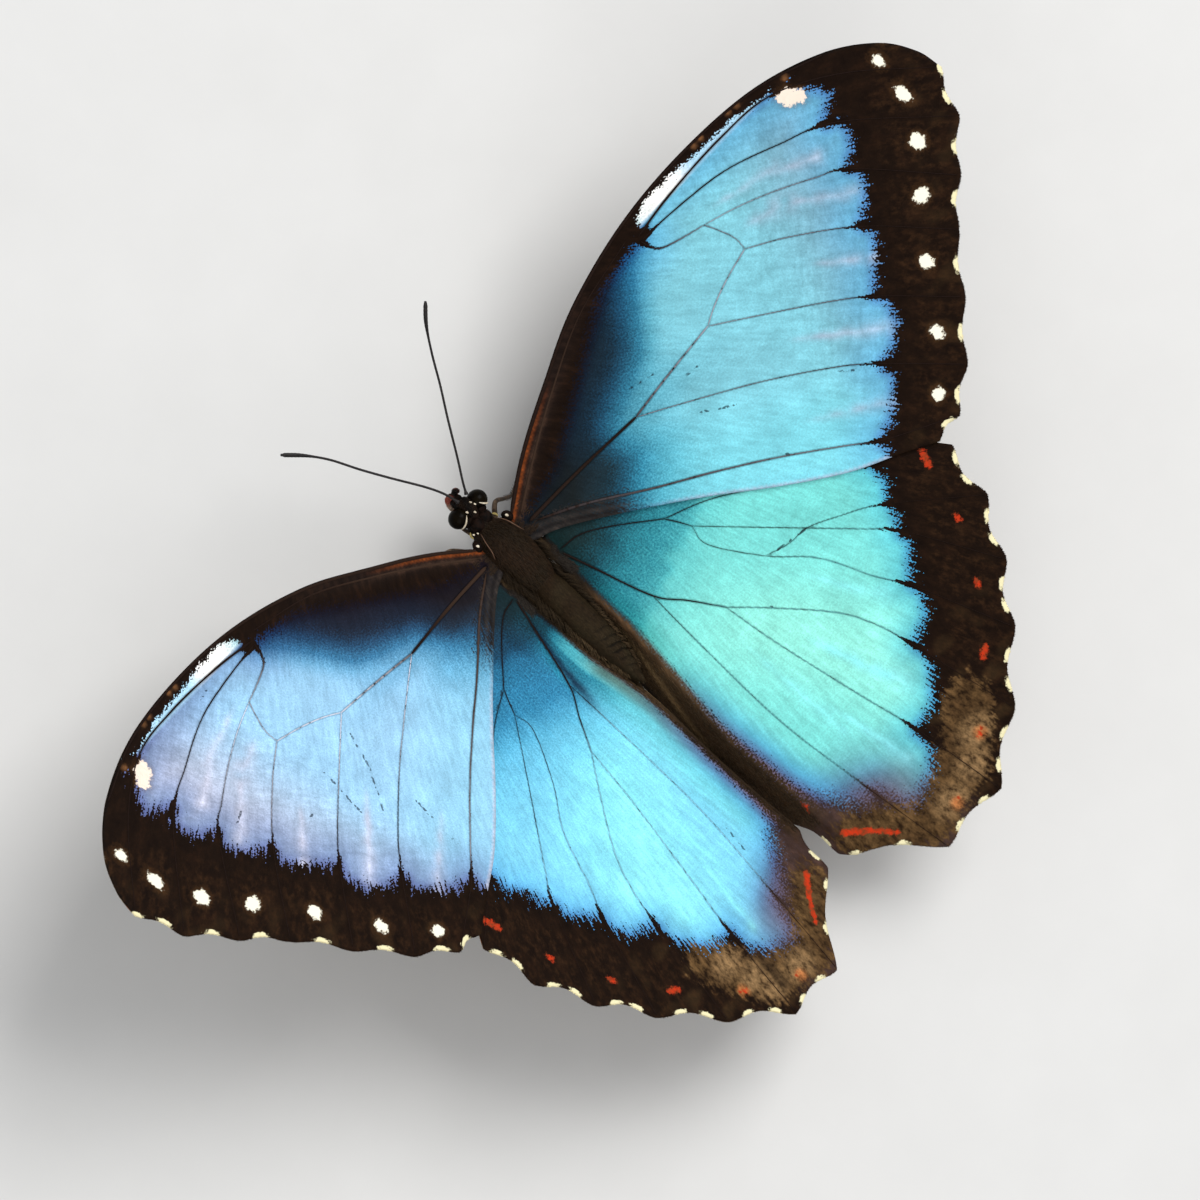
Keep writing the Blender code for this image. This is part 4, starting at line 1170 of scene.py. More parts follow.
def vein_field(kind, side, points):
    """Gap to the nearest vein, and how pale that vein is there."""
    gap = np.full(len(points), 9.0)
    pale = np.zeros(len(points))
    for name in vein_names(kind, side):
        bends, start_r, end_r, start_pale, end_pale = VEINS[kind][name]
        path = evenly(curve(bends, CURVE_STEPS), 0.6)
        near, along = to_path(points, path)
        share = np.clip(along / (0.6 * (len(path) - 1)), 0, 1)
        near = near - start_r - (end_r - start_r) * share
        closer = near < gap
        gap = np.where(closer, near, gap)
        pale = np.where(closer, start_pale + (end_pale - start_pale) * share, pale)
    return gap, pale


def ocelli_field(kind, points):
    """Share of the way out from the nearest eyespot's centre, 1 at its rim."""
    field = np.full(len(points), 9.0)
    for u, v, radius in EYESPOTS[kind]:
        away = (points - (u, v)) / radius
        field = np.minimum(field, np.hypot(away[:, 0], away[:, 1] * 0.92))
    return field


def under_ground(kind, side, points):
    """Colour of a wing's underside."""
    margin = gap_to(points, OUTER_MARGIN[kind])
    colour = layered(
        np.tile((0.078, 0.044, 0.022), (len(points), 1)),
        ((0.15, 0.10, 0.065), smooth(margin, 12, 4) * 0.7),
        ((0.045, 0.026, 0.014), smooth(waves(points, 5.0, 3), 0.0, 0.9) * 0.5),
    )
    drift = 0.25 * waves(points, 5.0, 8)
    for place, width, line in UNDER_LINES:
        colour = blend(colour, line, 0.85 * bell(margin - place - drift, width))
    for band in UNDER_BANDS[kind]:
        gap = gap_to(points, curve(band, CURVE_STEPS)) + 0.4 * waves(points, 4.0, 17)
        colour = layered(colour, ((0.040, 0.024, 0.013), 0.8 * bell(gap - 1.5, 0.4)),
                         ((0.34, 0.30, 0.20), 0.85 * smooth(gap, 1.2, 0.6)))
    veins, _ = vein_field(kind, side, points)
    return blend(colour, (0.16, 0.11, 0.07), 0.5 * smooth(veins, 0.4, 0.05))


def triangulate(outline, extra):
    """Points and triangles of a flat outline with extra points inside it."""
    flat = [Vector(p) for p in outline] + [Vector(p) for p in extra]
    rim = [(k, (k + 1) % len(outline)) for k in range(len(outline))]
    points, _, faces, *_ = delaunay_2d_cdt(flat, rim, [], 1, 1e-5)
    return np.array([tuple(p) for p in points]), [tuple(f) for f in faces]


def rim_edges(faces):
    """Edges with a triangle on one side only."""
    uses = set()
    for f in faces:
        uses.update(zip(f, f[1:] + f[:1]))
    return [(a, b) for a, b in uses if (b, a) not in uses]


def lattice(outline, spacing, gap):
    """Even triangular lattice of points inside an outline, at least gap from it."""
    low, high = outline.min(0), outline.max(0)
    rows = []
    for j, y in enumerate(np.arange(low[1], high[1], spacing * 0.866)):
        x = np.arange(low[0] + (j % 2) * spacing / 2, high[0], spacing)
        rows.append(np.stack([x, np.full_like(x, y)], 1))
    points = np.vstack(rows)
    return points[within(points, outline) > gap]


def wing_sheet(kind, side, upper):
    """One face of a wing as a thin closed sheet.

    Gives its points and faces, the same points on the flat wing, the gap to the veins, their
    paleness and the gap to the outer margin.
    """
    shift = (lambda v: fold_line(side, v)) if kind == "hind" else (lambda v: 0 * v)
    outline = wing_outline(kind)
    straight = np.stack([outline[:, 0] - shift(outline[:, 1]), outline[:, 1]], 1)
    fine, fine_faces = triangulate(straight, lattice(straight, LATTICE, 0.5 * LATTICE))
    coarse_points = lattice(straight, COARSE_LATTICE, 1.0)
    if kind == "hind":
        columns = -FOLD_RADIUS * 1.2 * np.arange(5) / 4
        fold_points = np.array([(x, y) for x in columns for y in np.arange(6.0, 48.0, 1.5)])
        coarse_points = coarse_points[np.abs(coarse_points[:, 0] + 0.3) > 1.0]
        inside = within(fold_points, straight) > 0.3
        coarse_points = np.vstack([coarse_points, fold_points[inside]])
    coarse, coarse_faces = triangulate(straight, coarse_points)
    flat = np.vstack([fine, coarse])
    flat[:, 0] += shift(flat[:, 1])

    veins, pale = vein_field(kind, side, flat)
    margin = gap_to(flat, OUTER_MARGIN[kind])
    relief = (0.045 * bell(veins, 0.5) - 0.035 * smooth(veins, 0.5, 2.5)
              + 0.02 * waves(flat, 3.0, 2))
    height = SKIN_HALF + relief * smooth(margin, 0.0, 1.5)
    height[len(fine):] = 0.0
    if not upper:
        height = -height
    verts = sheet_point(kind, side, *flat.T) + sheet_normal(kind, side, *flat.T) * height[:, None]

    def key(point):
        return tuple(np.round(point, 4))

    count = len(fine)
    near = {key(p): k + count for k, p in enumerate(coarse)}
    faces = list(fine_faces) + [tuple(k + count for k in reversed(f)) for f in coarse_faces]
    for a, b in rim_edges(fine_faces):
        a_in, b_in = near.get(key(fine[a])), near.get(key(fine[b]))
        if a_in is not None and b_in is not None:
            faces.append((b, a, a_in, b_in))
    return verts, faces, flat, veins, pale, margin


def upper_fields(kind, side, flat, veins, margin):
    """What the upper side is drawn from, at each point of the flat wing."""
    u, v = flat.T
    blue = within(flat, BLUE_EDGE[kind])
    soft = 4.4 if side == "left" else 3.0
    spot = np.full(len(flat), -5.0)
    red = np.full(len(flat), -5.0)
    if kind == "fore":
        costal = smooth(v, -11.0, -12.0) * smooth(u, 29, 31) * smooth(u, 53, 50)
        ahead = np.interp(u, *np.array(VEINS["fore"]["2a"][0]).T) - v
        soft = soft * (1 - 0.75 * costal) * (1 - 0.7 * smooth(u, 29, 22) * smooth(v, 0, -3))
        dust = 3.2 * (1 - 0.6 * costal)
        crisp = 0.09 + 0.8 * smooth(u, 29, 22) * smooth(v, 0, -3)
        crisp = crisp + 1.3 * smooth(ahead, 1.0, -0.3) * smooth(u, 17, 12)
        blue = np.minimum(blue, np.maximum(ahead * 0.8 + 0.3, (u - 8.5) * 0.55))
        strip = np.maximum(smooth(v, -12.6, -13.2), smooth(u, 30, 20))
        rough = 0.7 * smooth(u, 28, 40)
        for su, sv, ru, rv in WHITE_SPOTS:
            ratio = np.hypot((u - su) / ru, (v - sv) / rv)
            spot = np.maximum(spot, (1 - ratio) * min(ru, rv))
    else:
        from_band = u - fold_line(side, v) - band_of(side, v)
        corner = smooth(v - 0.2 * u, 38, 44) * smooth(u, 15, 5)
        beside = smooth(from_band, 2.2, 0.8)
        soft = soft * (1.2 - 0.8 * corner) * (1 - 0.7 * beside)
        dust = (3.2 + 3.0 * corner) * (1 - beside) + (1.0 + 3.2 * smooth(v, 18, 40)) * beside
        crisp = 0.09 + np.maximum(0.40 * beside, 1.2 * corner)
        blue = np.where(blue < 8, -np.logaddexp(-blue * 2.2, -from_band * 2.2) / 2.2, from_band)
        strip = smooth(v, 20, 12)
        rough = 0.25 * smooth(v, 8, 20)
        # The left wing lacks the last mark
        for start, end, width in RED_MARKS[:None if side == "right" else -1]:
            red = np.maximum(red, width - gap_to(flat, (start, end)))
    blue = blue - 2.4 * np.exp(-np.maximum(veins, 0) / 0.13) * (1 - strip)
    cloudy = smooth(-blue, 0.8, 2.8) * smooth(veins, 0.05, 0.6) * smooth(margin, 9.5, 6.5)
    scratch = np.min([gap_to(flat, ends) for ends in SCRATCHES[(kind, side)]], axis=0)
    # ruffle: strength of the wing's ruffles, both in the bump and in their painted shading
    return {"blue": blue, "soft": soft, "dust": dust, "spot": spot, "red": red,
            "scratch": scratch, "tone": tone_of(kind, side, flat), "ruffle": rough,
            "cloudy": cloudy, "crisp": crisp,
            "apical": smooth(v, -9.6, -10.0) * smooth(u, 55.0, 54.6)}


def wing_skin(kind, side, upper):
    """One face of a wing, with all that its material draws from."""
    verts, faces, flat, veins, pale, margin = wing_sheet(kind, side, upper)
    floats = {"dash": dash_field(kind, flat), "vein": veins, "vein_pale": pale}
    if upper:
        floats.update(upper_fields(kind, side, flat, veins, margin))
        mottle = 0.5 + 0.5 * waves(flat, 4.0, 5)
        if kind == "fore":
            ground = tan_colour = fore_ground(flat, mottle)
            tan = 0 * flat[:, 0]
        else:
            ground, tan, tan_colour = hind_ground(side, flat, mottle)
        floats["tan"] = tan
        colours = {"blue_colour": blue_of(kind, side, flat), "ground_colour": ground,
                   "tan_colour": tan_colour}
    else:
        floats["ocellus"] = ocelli_field(kind, flat)
        colours = {"ground_colour": under_ground(kind, side, flat)}
    vectors = {"flat": np.stack([*flat.T, 0 * flat[:, 0]], 1), "lie": lie_of(kind, flat)}
    piece = new_object(f"{kind}wing_{side}_{'upper' if upper else 'under'}", verts, faces,
                       UPPER if upper else UNDER, floats, colours, vectors)
    outward(piece)
    return piece


def wing_veins(kind, side):
    """Raised veins of a wing, standing proud of both its faces."""
    verts, faces, pale, brown, flat = [], [], [], [], []
    for name in vein_names(kind, side):
        points, start_r, end_r, start_pale, end_pale = VEINS[kind][name]
        line = evenly(curve(points, CURVE_STEPS), 0.45)
        u, v = line.T
        share = np.linspace(0, 1, len(line))
        wide = start_r + (end_r - start_r) * share
        wide = wide * smooth(share, -0.02, 0.03) * smooth(share, 1.02, 0.99)
        wide = np.maximum(wide, 0.02) * (0.85 if kind == "hind" else 1.0)
        first = tuple(sheet_normal(kind, side, u, v)[0])
        add_tube(verts, faces, sheet_point(kind, side, u, v), wide, VEIN_SIDES, first,
                 SKIN_HALF + 0.085 + 0.5 * wide)
        if kind == "hind":
            light = smooth(v - 0.2 * u, 17, 22)
            tint = 0.0
        else:
            if side == "left" and name in ("cua2", "cua1", "m2"):
                start_pale, end_pale = 1.3, -0.9
            light = start_pale + (end_pale - start_pale) * share ** 0.8
            tint = VEIN_BROWN.get(name, 0.0)
            if name != "subcosta":
                tint = tint * (1.6 if side == "left" else 0.45)
        to_border = within(line, np.array(BLUE_OUTLINE[kind]))
        light = np.clip(light, 0, 1) * smooth(to_border, 1.0, 4.0)
        pale.append(np.repeat(light, VEIN_SIDES))
        brown.append(np.repeat(tint * (1 - smooth(share, 0.3, 0.9)), VEIN_SIDES))
        flat.append(np.repeat(np.stack([u, v, 0 * share], 1), VEIN_SIDES, axis=0))
    verts = np.vstack(verts)
    piece = new_object(f"{kind}wing_{side}_veins", verts, faces, VEIN,
                       {"pale": np.concatenate(pale), "brown": np.concatenate(brown)},
                       {"pale_colour": np.tile(VEIN_PALE[(kind, side)], (len(verts), 1))},
                       {"flat": np.vstack(flat)})
    outward(piece)


# ---------------------------------------------------------------- hair

# Along a tuft: place, share of its width, brightness
TUFT_STATIONS = ((0.0, 0.75, 0.72), (0.35, 1.0, 0.95), (0.72, 0.72, 1.1))


def tufts(name, roots, normals, lies, lengths, widths, colours, uv, droop=0.25, tip=1.35,
          rise=0.35):
    """Thin curved tufts, flat blades that lie along the surface and taper to a point.

    roots, normals and lies are points and directions; uv gives each root's place on an
    unwrap of the surface, and each tuft takes a small patch round it.
    """
    count = len(roots)
    normals = normals / np.linalg.norm(normals, axis=1)[:, None]
    lies = lies - normals * np.sum(lies * normals, axis=1)[:, None]
    lies = lies / np.linalg.norm(lies, axis=1)[:, None]
    sides = np.cross(lies, normals)
    rows, uv_rows = [], []
    patch = 0.003

    def centre(t):
        lift = rise * t - droop * t * t
        return roots + lies * (lengths * t)[:, None] + normals * (lengths * lift)[:, None]

    for t, share, _ in TUFT_STATIONS:
        middle = centre(t)
        wide = (widths * share / 2)[:, None]
        rows += [middle - sides * wide, middle + sides * wide, middle + normals * wide * 0.7]
        uv_rows += [uv + (-patch / 2, patch * t), uv + (patch / 2, patch * t),
                    uv + (0.0, patch * t)]
    rows.append(centre(1.0))
    uv_rows.append(uv + (0.0, patch))
    verts = np.stack(rows, 1).reshape(-1, 3)
    uvs = np.stack(uv_rows, 1).reshape(-1, 2)
    per = len(rows)
    one = [(0, 1, 2)]
    for s in (0, 3):
        one += [(s, s + 3, s + 4, s + 1), (s + 1, s + 4, s + 5, s + 2), (s + 2, s + 5, s + 3, s)]
    one += [(7, 6, 9), (8, 7, 9), (6, 8, 9)]
    faces = [tuple(k * per + i for i in face) for k in range(count) for face in one]
    fade = np.array([light for *_, light in TUFT_STATIONS for _ in range(3)] + [tip])
    paint = np.repeat(colours, per, axis=0) * np.tile(fade, count)[:, None]
    return new_object(name, verts, faces, HAIR, colours={"hair": paint}, uvs=uvs)


# ---------------------------------------------------------------- body

def smoothed(values, reach):
    """Running mean over a few stations, with the ends held."""
    kernel = bell(np.arange(-12, 13), reach)
    padded = np.concatenate([np.full(12, values[0]), values, np.full(12, values[-1])])
    return np.convolve(padded, kernel / kernel.sum(), "valid")


BODY_Y = np.arange(BODY_SECTIONS[0][0], BODY_SECTIONS[-1][0] + 0.01, 0.05)
SECTION_Y, *SECTION_SIZES = np.array(BODY_SECTIONS).T
BODY_HEIGHT, BODY_WIDE, BODY_TALL = (
    smoothed(np.interp(BODY_Y, SECTION_Y, size), reach)
    for size, reach in zip(SECTION_SIZES, (5.0, 4.0, 4.0)))


def coat_depth(y):
    """Depth of the hair: head, thorax, abdomen."""
    head, thorax, abdomen = COAT_DEPTH
    return (head + (thorax - head) * smooth(y, -4.8, -2.5)
            + (abdomen - thorax) * smooth(y, 4.5, 7.0))


def crease(y, angle):
    """How far the abdomen is drawn in where its rings overlap."""
    total = np.zeros_like(y)
    for fold, depth in ABDOMEN_FOLDS:
        behind = y + FOLD_SLANT * np.cos(angle) - fold
        total += 0.12 * depth * np.exp(-(np.maximum(0, -behind) / 0.07) ** 2
                                       - (np.maximum(0, behind) / 0.40) ** 2)
    return total * (0.2 + 0.8 * smooth(np.cos(angle), 0.5, 0.1))


def body_point(y, angle):
    """Points of the skin at y (behind the hinge) and angle round the body, 90 degrees on top."""
    deep = coat_depth(y) + crease(y, angle)
    wide = np.maximum(0.05, np.interp(y, BODY_Y, BODY_WIDE) - deep)
    tall = np.maximum(0.05, np.interp(y, BODY_Y, BODY_TALL) - deep)
    power = 2 / BODY_SQUARENESS
    c, s = np.cos(angle), np.sin(angle)
    x = wide * np.sign(c) * np.abs(c) ** power
    z = np.interp(y, BODY_Y, BODY_HEIGHT) + tall * np.sign(s) * np.abs(s) ** power
    # A shallow furrow down the middle of the thorax
    furrow = 0.10 * bell(x, 0.35) * smooth(y, -2.0, -0.5) * smooth(y, 5.2, 4.0)
    z = z - np.where(s > 0, furrow, 0)
    return np.stack([x, y + HINGE_Y, z + HINGE_HEIGHT], -1)


def body_normal(y, angle):
    """Outward normals of the skin."""
    step = 0.03
    round_it = body_point(y, angle + step) - body_point(y, angle - step)
    along = body_point(y + step, angle) - body_point(y - step, angle)
    normal = np.cross(round_it, along)
    normal /= np.maximum(1e-9, np.linalg.norm(normal, axis=1))[:, None]
    centre = np.stack([0 * y, y + HINGE_Y, np.interp(y, BODY_Y, BODY_HEIGHT) + HINGE_HEIGHT], -1)
    outside = np.sign(np.sum(normal * (body_point(y, angle) - centre), axis=1))
    return normal * outside[:, None]


def body_colour(y, angle):
    """Colour of the body's hair and skin."""
    top, side = np.sin(angle), np.cos(angle)
    abdomen = smooth(y, 5.0, 7.5)
    patchy = 0.5 + 0.5 * np.sin(1.3 * y + 2.0 * np.sin(2.1 * angle + 0.5 * y))
    side_band = abdomen * bell(top + 0.25, 0.2)
    chest = smooth(y, -4.0, -2.0) * smooth(y, 5.5, 4.5) * smooth(top, -0.3, -0.8)
    colour = layered(
        np.tile((0.013, 0.0070, 0.0026), (len(y), 1)),
        ((0.017, 0.0095, 0.0036), smooth(y, -3.0, 3.0) * smooth(top, -0.2, 0.9)),
        ((0.004, 0.0025, 0.002), smooth(y, -2.9, -4.2)),
        ((0.024, 0.0105, 0.0045), 0.5 * patchy),
        ((0.029, 0.0192, 0.0088), abdomen * (1 - 0.45 * patchy)),
        ((0.19, 0.14, 0.085), abdomen * smooth(top, -0.45, -0.85)),
        ((0.075, 0.045, 0.022), 0.6 * side_band),
        ((0.10, 0.07, 0.045), 0.8 * chest),
    )
    # Painted shade in the abdomen's creases, left off its left side
    place = y + FOLD_SLANT * side + 0.08 * np.sin(7 * angle)
    toward = smooth(side, 0.45, 0.05) * smooth(side, -0.98, -0.86)
    for fold, depth in ABDOMEN_FOLDS:
        gap = np.abs(place - fold - 0.06)
        colour = blend(colour, (0.004, 0.003, 0.002),
                       0.75 * depth * toward * smooth(gap, 0.24, 0.06))
    return colour


def unwrap(y, angle):
    """Place on the body's own unwrap: round it, and from head to tail."""
    length = BODY_Y[-1] - BODY_Y[0]
    return np.stack([0.02 + 0.95 * np.mod(angle / (2 * math.pi) + 0.25, 1.0),
                     0.02 + 0.95 * (y - BODY_Y[0]) / length], -1)


def body_skin():
    """One skin for head, collar, thorax and abdomen."""
    sides = 64
    stations = np.arange(BODY_Y[0], BODY_Y[-1] + 1e-6, 0.12)
    angle = 2 * math.pi * np.arange(sides) / sides
    rings = [body_point(np.full(sides, y), angle) for y in stations]
    front = rings[0].mean(0) - (0, 0.22, 0)
    back = rings[-1].mean(0) + (0, 0.18, 0)
    nose = [front + (rings[0] - rings[0].mean(0)) * share + (0, 0.22 * (1 - math.sqrt(
        1 - share ** 2)), 0) for share in (0.35, 0.7, 0.9)]
    verts = np.vstack(nose + rings + [rings[-1] * 0.4 + back * 0.6])
    count = len(verts) // sides
    colours = body_colour(verts[:, 1] - HINGE_Y, np.tile(angle, count)) * 0.75
    piece = outward(new_object("body_skin", verts, ring_faces(count, sides), SKIN,
                               colours={"hair": colours}))
    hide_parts("head", "collar", "thorax", "abdomen")


def body_tufts(name, y, angle, lies, lengths, widths, colours, rise):
    """Tufts rooted a little under the body's skin."""
    normals = body_normal(y, angle)
    piece = tufts(name, body_point(y, angle) - normals * 0.03, normals, lies, lengths, widths,
                  colours, unwrap(y, angle), rise=rise)


def body_coat(name, low, high, per_mm2, length, width, sweep, seed, rise, bare=None):
    """Tufts over a stretch of the body, more of them where it is wide."""
    rng = np.random.default_rng(seed)
    count = int(per_mm2 * (high - low) * 12.0)
    y = rng.uniform(low, high, count)
    angle = rng.uniform(0, 2 * math.pi, count)
    girth = np.interp(y, BODY_Y, BODY_WIDE) + np.interp(y, BODY_Y, BODY_TALL)
    keep = rng.uniform(0, 1, count) < girth / 5.8
    if bare is not None:
        keep &= ~bare(y, angle)
    y, angle = y[keep], angle[keep]
    lies = np.tile((0.0, 1.0, 0.0), (len(y), 1))
    lies[:, 0] += rng.normal(0, sweep, len(y)) + 0.25 * np.cos(angle)
    lies[:, 2] += rng.normal(0, sweep, len(y))
    lengths = length * rng.uniform(0.65, 1.3, len(y))
    for fold, _ in ABDOMEN_FOLDS:
        ahead = fold + 0.04 - y - FOLD_SLANT * np.cos(angle)
        lengths = np.where((ahead > 0) & (ahead < lengths), np.maximum(0.16, ahead), lengths)
    widths = width * rng.uniform(0.7, 1.25, len(y))
    colours = body_colour(y, angle) * rng.uniform(0.65, 1.5, (len(y), 1))
    body_tufts(name, y, angle, lies, lengths, widths, colours, rise)


def side_fur():
    """Long fur down both sides of the body, filling the clefts to the hindwings."""
    rng = np.random.default_rng(71)
    count = 3600
    y = 1.5 + 17.5 * rng.uniform(0, 1, count) ** 1.25
    angle = np.radians(rng.uniform(-38, 34, count))
    angle = np.where(rng.uniform(0, 1, count) < 0.5, angle, math.pi - angle)
    lies = np.tile((0.0, 1.0, 0.1), (count, 1)) + rng.normal(0, 0.16, (count, 3))
    lengths = (1.35 - 0.75 * smooth(y, 6, 15)) * rng.uniform(0.6, 1.15, count)
    tint = layered((0.022, 0.0135, 0.0065), ((0.034, 0.022, 0.011), smooth(y, 3, 10)),
                   ((0.072, 0.045, 0.022), smooth(y, 10, 13)))
    widths = rng.uniform(0.06, 0.10, count)
    colours = tint * rng.uniform(0.6, 1.5, (count, 1))
    body_tufts("coat_sides", y, angle, lies, lengths, widths, colours, 0.95)


def body_frame(x, y, height):
    """A point given as across, behind the hinge and above the hinge."""
    return np.array([x, y + HINGE_Y, height + HINGE_HEIGHT])


def body_path(points, sign, step, steps=CURVE_STEPS):
    """Even path through points of the left side (sign 1) or mirrored (-1), and its shares."""
    path = evenly(curve([body_frame(sign * x, y, z) for x, y, z in points], steps), step)
    return path, np.linspace(0, 1, len(path))


def directions(rings, sides):
    """Polar angle, angle round the pole and unit direction, ring by ring over a sphere."""
    for polar in (math.pi * (r + 0.5) / rings for r in range(rings)):
        for angle in (2 * math.pi * k / sides for k in range(sides)):
            yield polar, angle, np.array([math.sin(polar) * math.cos(angle),
                                          math.sin(polar) * math.sin(angle), math.cos(polar)])


def lump(name, centre, radii, material, slot, turn, tilt, wobble, seed):
    """Rounded lobe with a slightly uneven surface."""
    rings, sides = 18, 28
    phases = np.random.default_rng(seed).uniform(0, 6.28, 6)
    verts = []
    for polar, angle, way in directions(rings, sides):
        uneven = 1 + wobble * (math.sin(3 * angle + phases[0]) * math.sin(2 * polar + phases[1])
                               + 0.6 * math.sin(5 * polar + phases[2]))
        verts.append(way * uneven * np.array(radii))
    spin = Matrix.Rotation(turn, 3, "Z") @ Matrix.Rotation(tilt, 3, "Y")
    verts = np.array(verts) @ np.array(spin).T + body_frame(*centre)
    outward(new_object(name, verts, ring_faces(rings, sides), material))


def tapered(name, points, sign, step, thick, height, blunt, sides, material, tint=None):
    """A thin raised line of the head that tapers at both ends."""
    path, share = body_path(points, sign, step)
    wide = thick * np.sin(math.pi * np.clip(share, blunt, 1 - blunt)) ** 0.5
    verts, faces = tube(path, wide, wide * height, sides)
    colours = {"hair": np.tile(tint, (len(verts), 1))} if tint else None
    outward(new_object(name, verts, faces, material, colours=colours))


def eye(side, sign):
    """Compound eye as a full dome, sunk into the side of the head, with a cream line behind."""
    x, y, z = EYE_CENTRE
    rings, sides = 40, 56
    centre = body_frame(sign * x, y, z)
    verts = [centre + way[[2, 0, 1]] * np.array(EYE_RADII)
             for _, _, way in directions(rings, sides)]
    piece = outward(new_object(f"eye_{side}_dome", verts, ring_faces(rings, sides), EYE))
    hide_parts("eye_" + side)
    tapered(f"eye_{side}_line", EYE_LINE, sign, 0.06, 0.105, 0.7, 0.03, 10, CREAM)


def antenna(side, sign):
    """Slender ringed feeler with a slim club."""
    path, share = body_path(ANTENNA_PATH[side], sign, 0.10, 10)
    run = share * len(path) * 0.10
    radius = 0.125 + 0.10 * smooth(share, 0.80, 0.93) - 0.10 * smooth(share, 0.975, 1.0)
    radius = radius + 0.10 * smooth(share, 0.03, 0.0)
    radius = radius * (1 + 0.10 * np.abs(np.sin(math.pi * run / 0.42)))
    piece = outward(new_object(f"antenna_{side}_feeler", *tube(path, radius, radius, 10),
                               FEELER))
    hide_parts("antenna_" + side)


def leg(name, side, sign, points, radii, tarsus_from):
    """Leg of tapering joints; one that stands has spines and a pair of claws."""
    path, share = body_path(points, sign, 0.12)
    radius = np.interp(share, np.linspace(0, 1, len(radii)), radii)
    run = share * len(path) * 0.12
    foot = smooth(share, tarsus_from, tarsus_from + 0.03)
    rings = 0.16 * np.abs(np.sin(math.pi * run / 0.85)) * foot
    radius = radius * (1 + rings) * smooth(share, 1.02, 0.985)
    radius = np.maximum(radius, 0.04)
    stands = name != "foreleg"
    if stands:
        path[:, 2] = np.maximum(path[:, 2], radius * 0.9)
    verts, faces = tube(path, radius, radius, 10)
    verts[:, 2] = np.maximum(verts[:, 2], 0.0)
    piece = outward(new_object(f"{name}_{side}_shank", verts, faces, LEG))
    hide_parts(f"{name}_{side}")
    if not stands:
        return
    verts, faces = [], []
    rng = np.random.default_rng(len(name))
    along = np.gradient(path, axis=0)
    spine_radii = np.array([0.028, 0.022, 0.006])
    for k in range(int(len(path) * 0.5), len(path) - 2, 3):
        way = along[k] / np.linalg.norm(along[k])
        for hand in (-1, 1):
            out = np.cross(way, (0, 0, 1.0))
            out = out / max(1e-6, np.linalg.norm(out)) * hand
            spine = [path[k] + out * radius[k] * 0.8,
                     path[k] + out * (radius[k] + 0.10) + way * 0.10,
                     path[k] + out * (radius[k] + 0.16) + way * (0.24 + 0.05 * rng.random())]
            add_tube(verts, faces, spine, spine_radii, 5, (0.1, 0.2, 1))
    end, way = path[-1], along[-1] / np.linalg.norm(along[-1])
    for hand in (-1, 1):
        out = np.cross(way, (0, 0, 1.0)) * hand
        hook = curve([end - way * 0.05, end + way * 0.14 + out * 0.08 + (0, 0, 0.04),
                      end + way * 0.26 + out * 0.10 - (0, 0, 0.06)], 4)
        add_tube(verts, faces, hook, np.linspace(0.06, 0.012, len(hook)), 6, (0.1, 0.1, 1))
    verts = np.vstack(verts)
    verts[:, 2] = np.maximum(verts[:, 2], 0.0)
    outward(new_object(f"{name}_{side}_spines", verts, faces, CLAW))


def proboscis():
    """Coiled tongue with fine rings."""
    y, height = PROBOSCIS_CENTRE
    turns = np.linspace(0, 2.3, 240)
    radius = 0.88 - 0.33 * turns
    angle = math.radians(70) + 2 * math.pi * turns
    path = np.stack([0.10 * np.sin(turns), y + HINGE_Y + radius * np.cos(angle),
                     HINGE_HEIGHT + height + radius * np.sin(angle)], 1)
    thick = (0.15 - 0.035 * turns) * (1 + 0.07 * np.sin(np.arange(240) * 1.6))
    piece = outward(new_object("proboscis_coil", *tube(path, thick, thick, 10, (1, 0, 0)),
                               TONGUE))
    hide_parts("proboscis")


def palp(side, sign):
    """Upturned palp, scaled reddish outside and black at its tip."""
    around = 14
    path, share = body_path(PALP_PATH, sign, 0.08)
    radius = np.interp(share, (0, 0.3, 0.6, 0.85, 1.0), (0.24, 0.32, 0.33, 0.27, 0.10))
    verts, faces = tube(path, radius, radius, around, (0, 1, 0))
    from_middle = verts - np.repeat(path, around, axis=0)
    out = from_middle[:, 0] * sign
    high = np.repeat(share, around)
    colour = layered(
        PALP_BLACK, (PALP_RED, smooth(out, -0.05, 0.12)),
        (PALP_CREAM, smooth(high, 0.55, 0.15) * smooth(out, -0.1, 0.1)),
        (PALP_BLACK, smooth(high, 0.80, 0.92) * (0.9 if side == "right" else 0.5)),
    )
    piece = outward(new_object(f"palp_{side}_skin", verts, faces, SKIN,
                               colours={"hair": colour}))
    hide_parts("palp_" + side)
    rng = np.random.default_rng(3)
    pick = rng.integers(around, len(verts) - around, 420)
    ring, corner = pick // around, pick % around
    lies = np.gradient(path, axis=0)[np.minimum(ring, len(path) - 1)]
    lies = lies + rng.normal(0, 0.02, lies.shape)
    tint = colour[pick] * rng.uniform(0.7, 1.4, (len(pick), 1))
    place = np.stack([0.05 + 0.9 * corner / around, 0.05 + 0.9 * ring / len(path)], 1)
    coat = tufts(f"palp_{side}_coat", verts[pick], from_middle[pick], lies,
                 rng.uniform(0.22, 0.38, len(pick)), rng.uniform(0.06, 0.10, len(pick)),
                 tint, place)


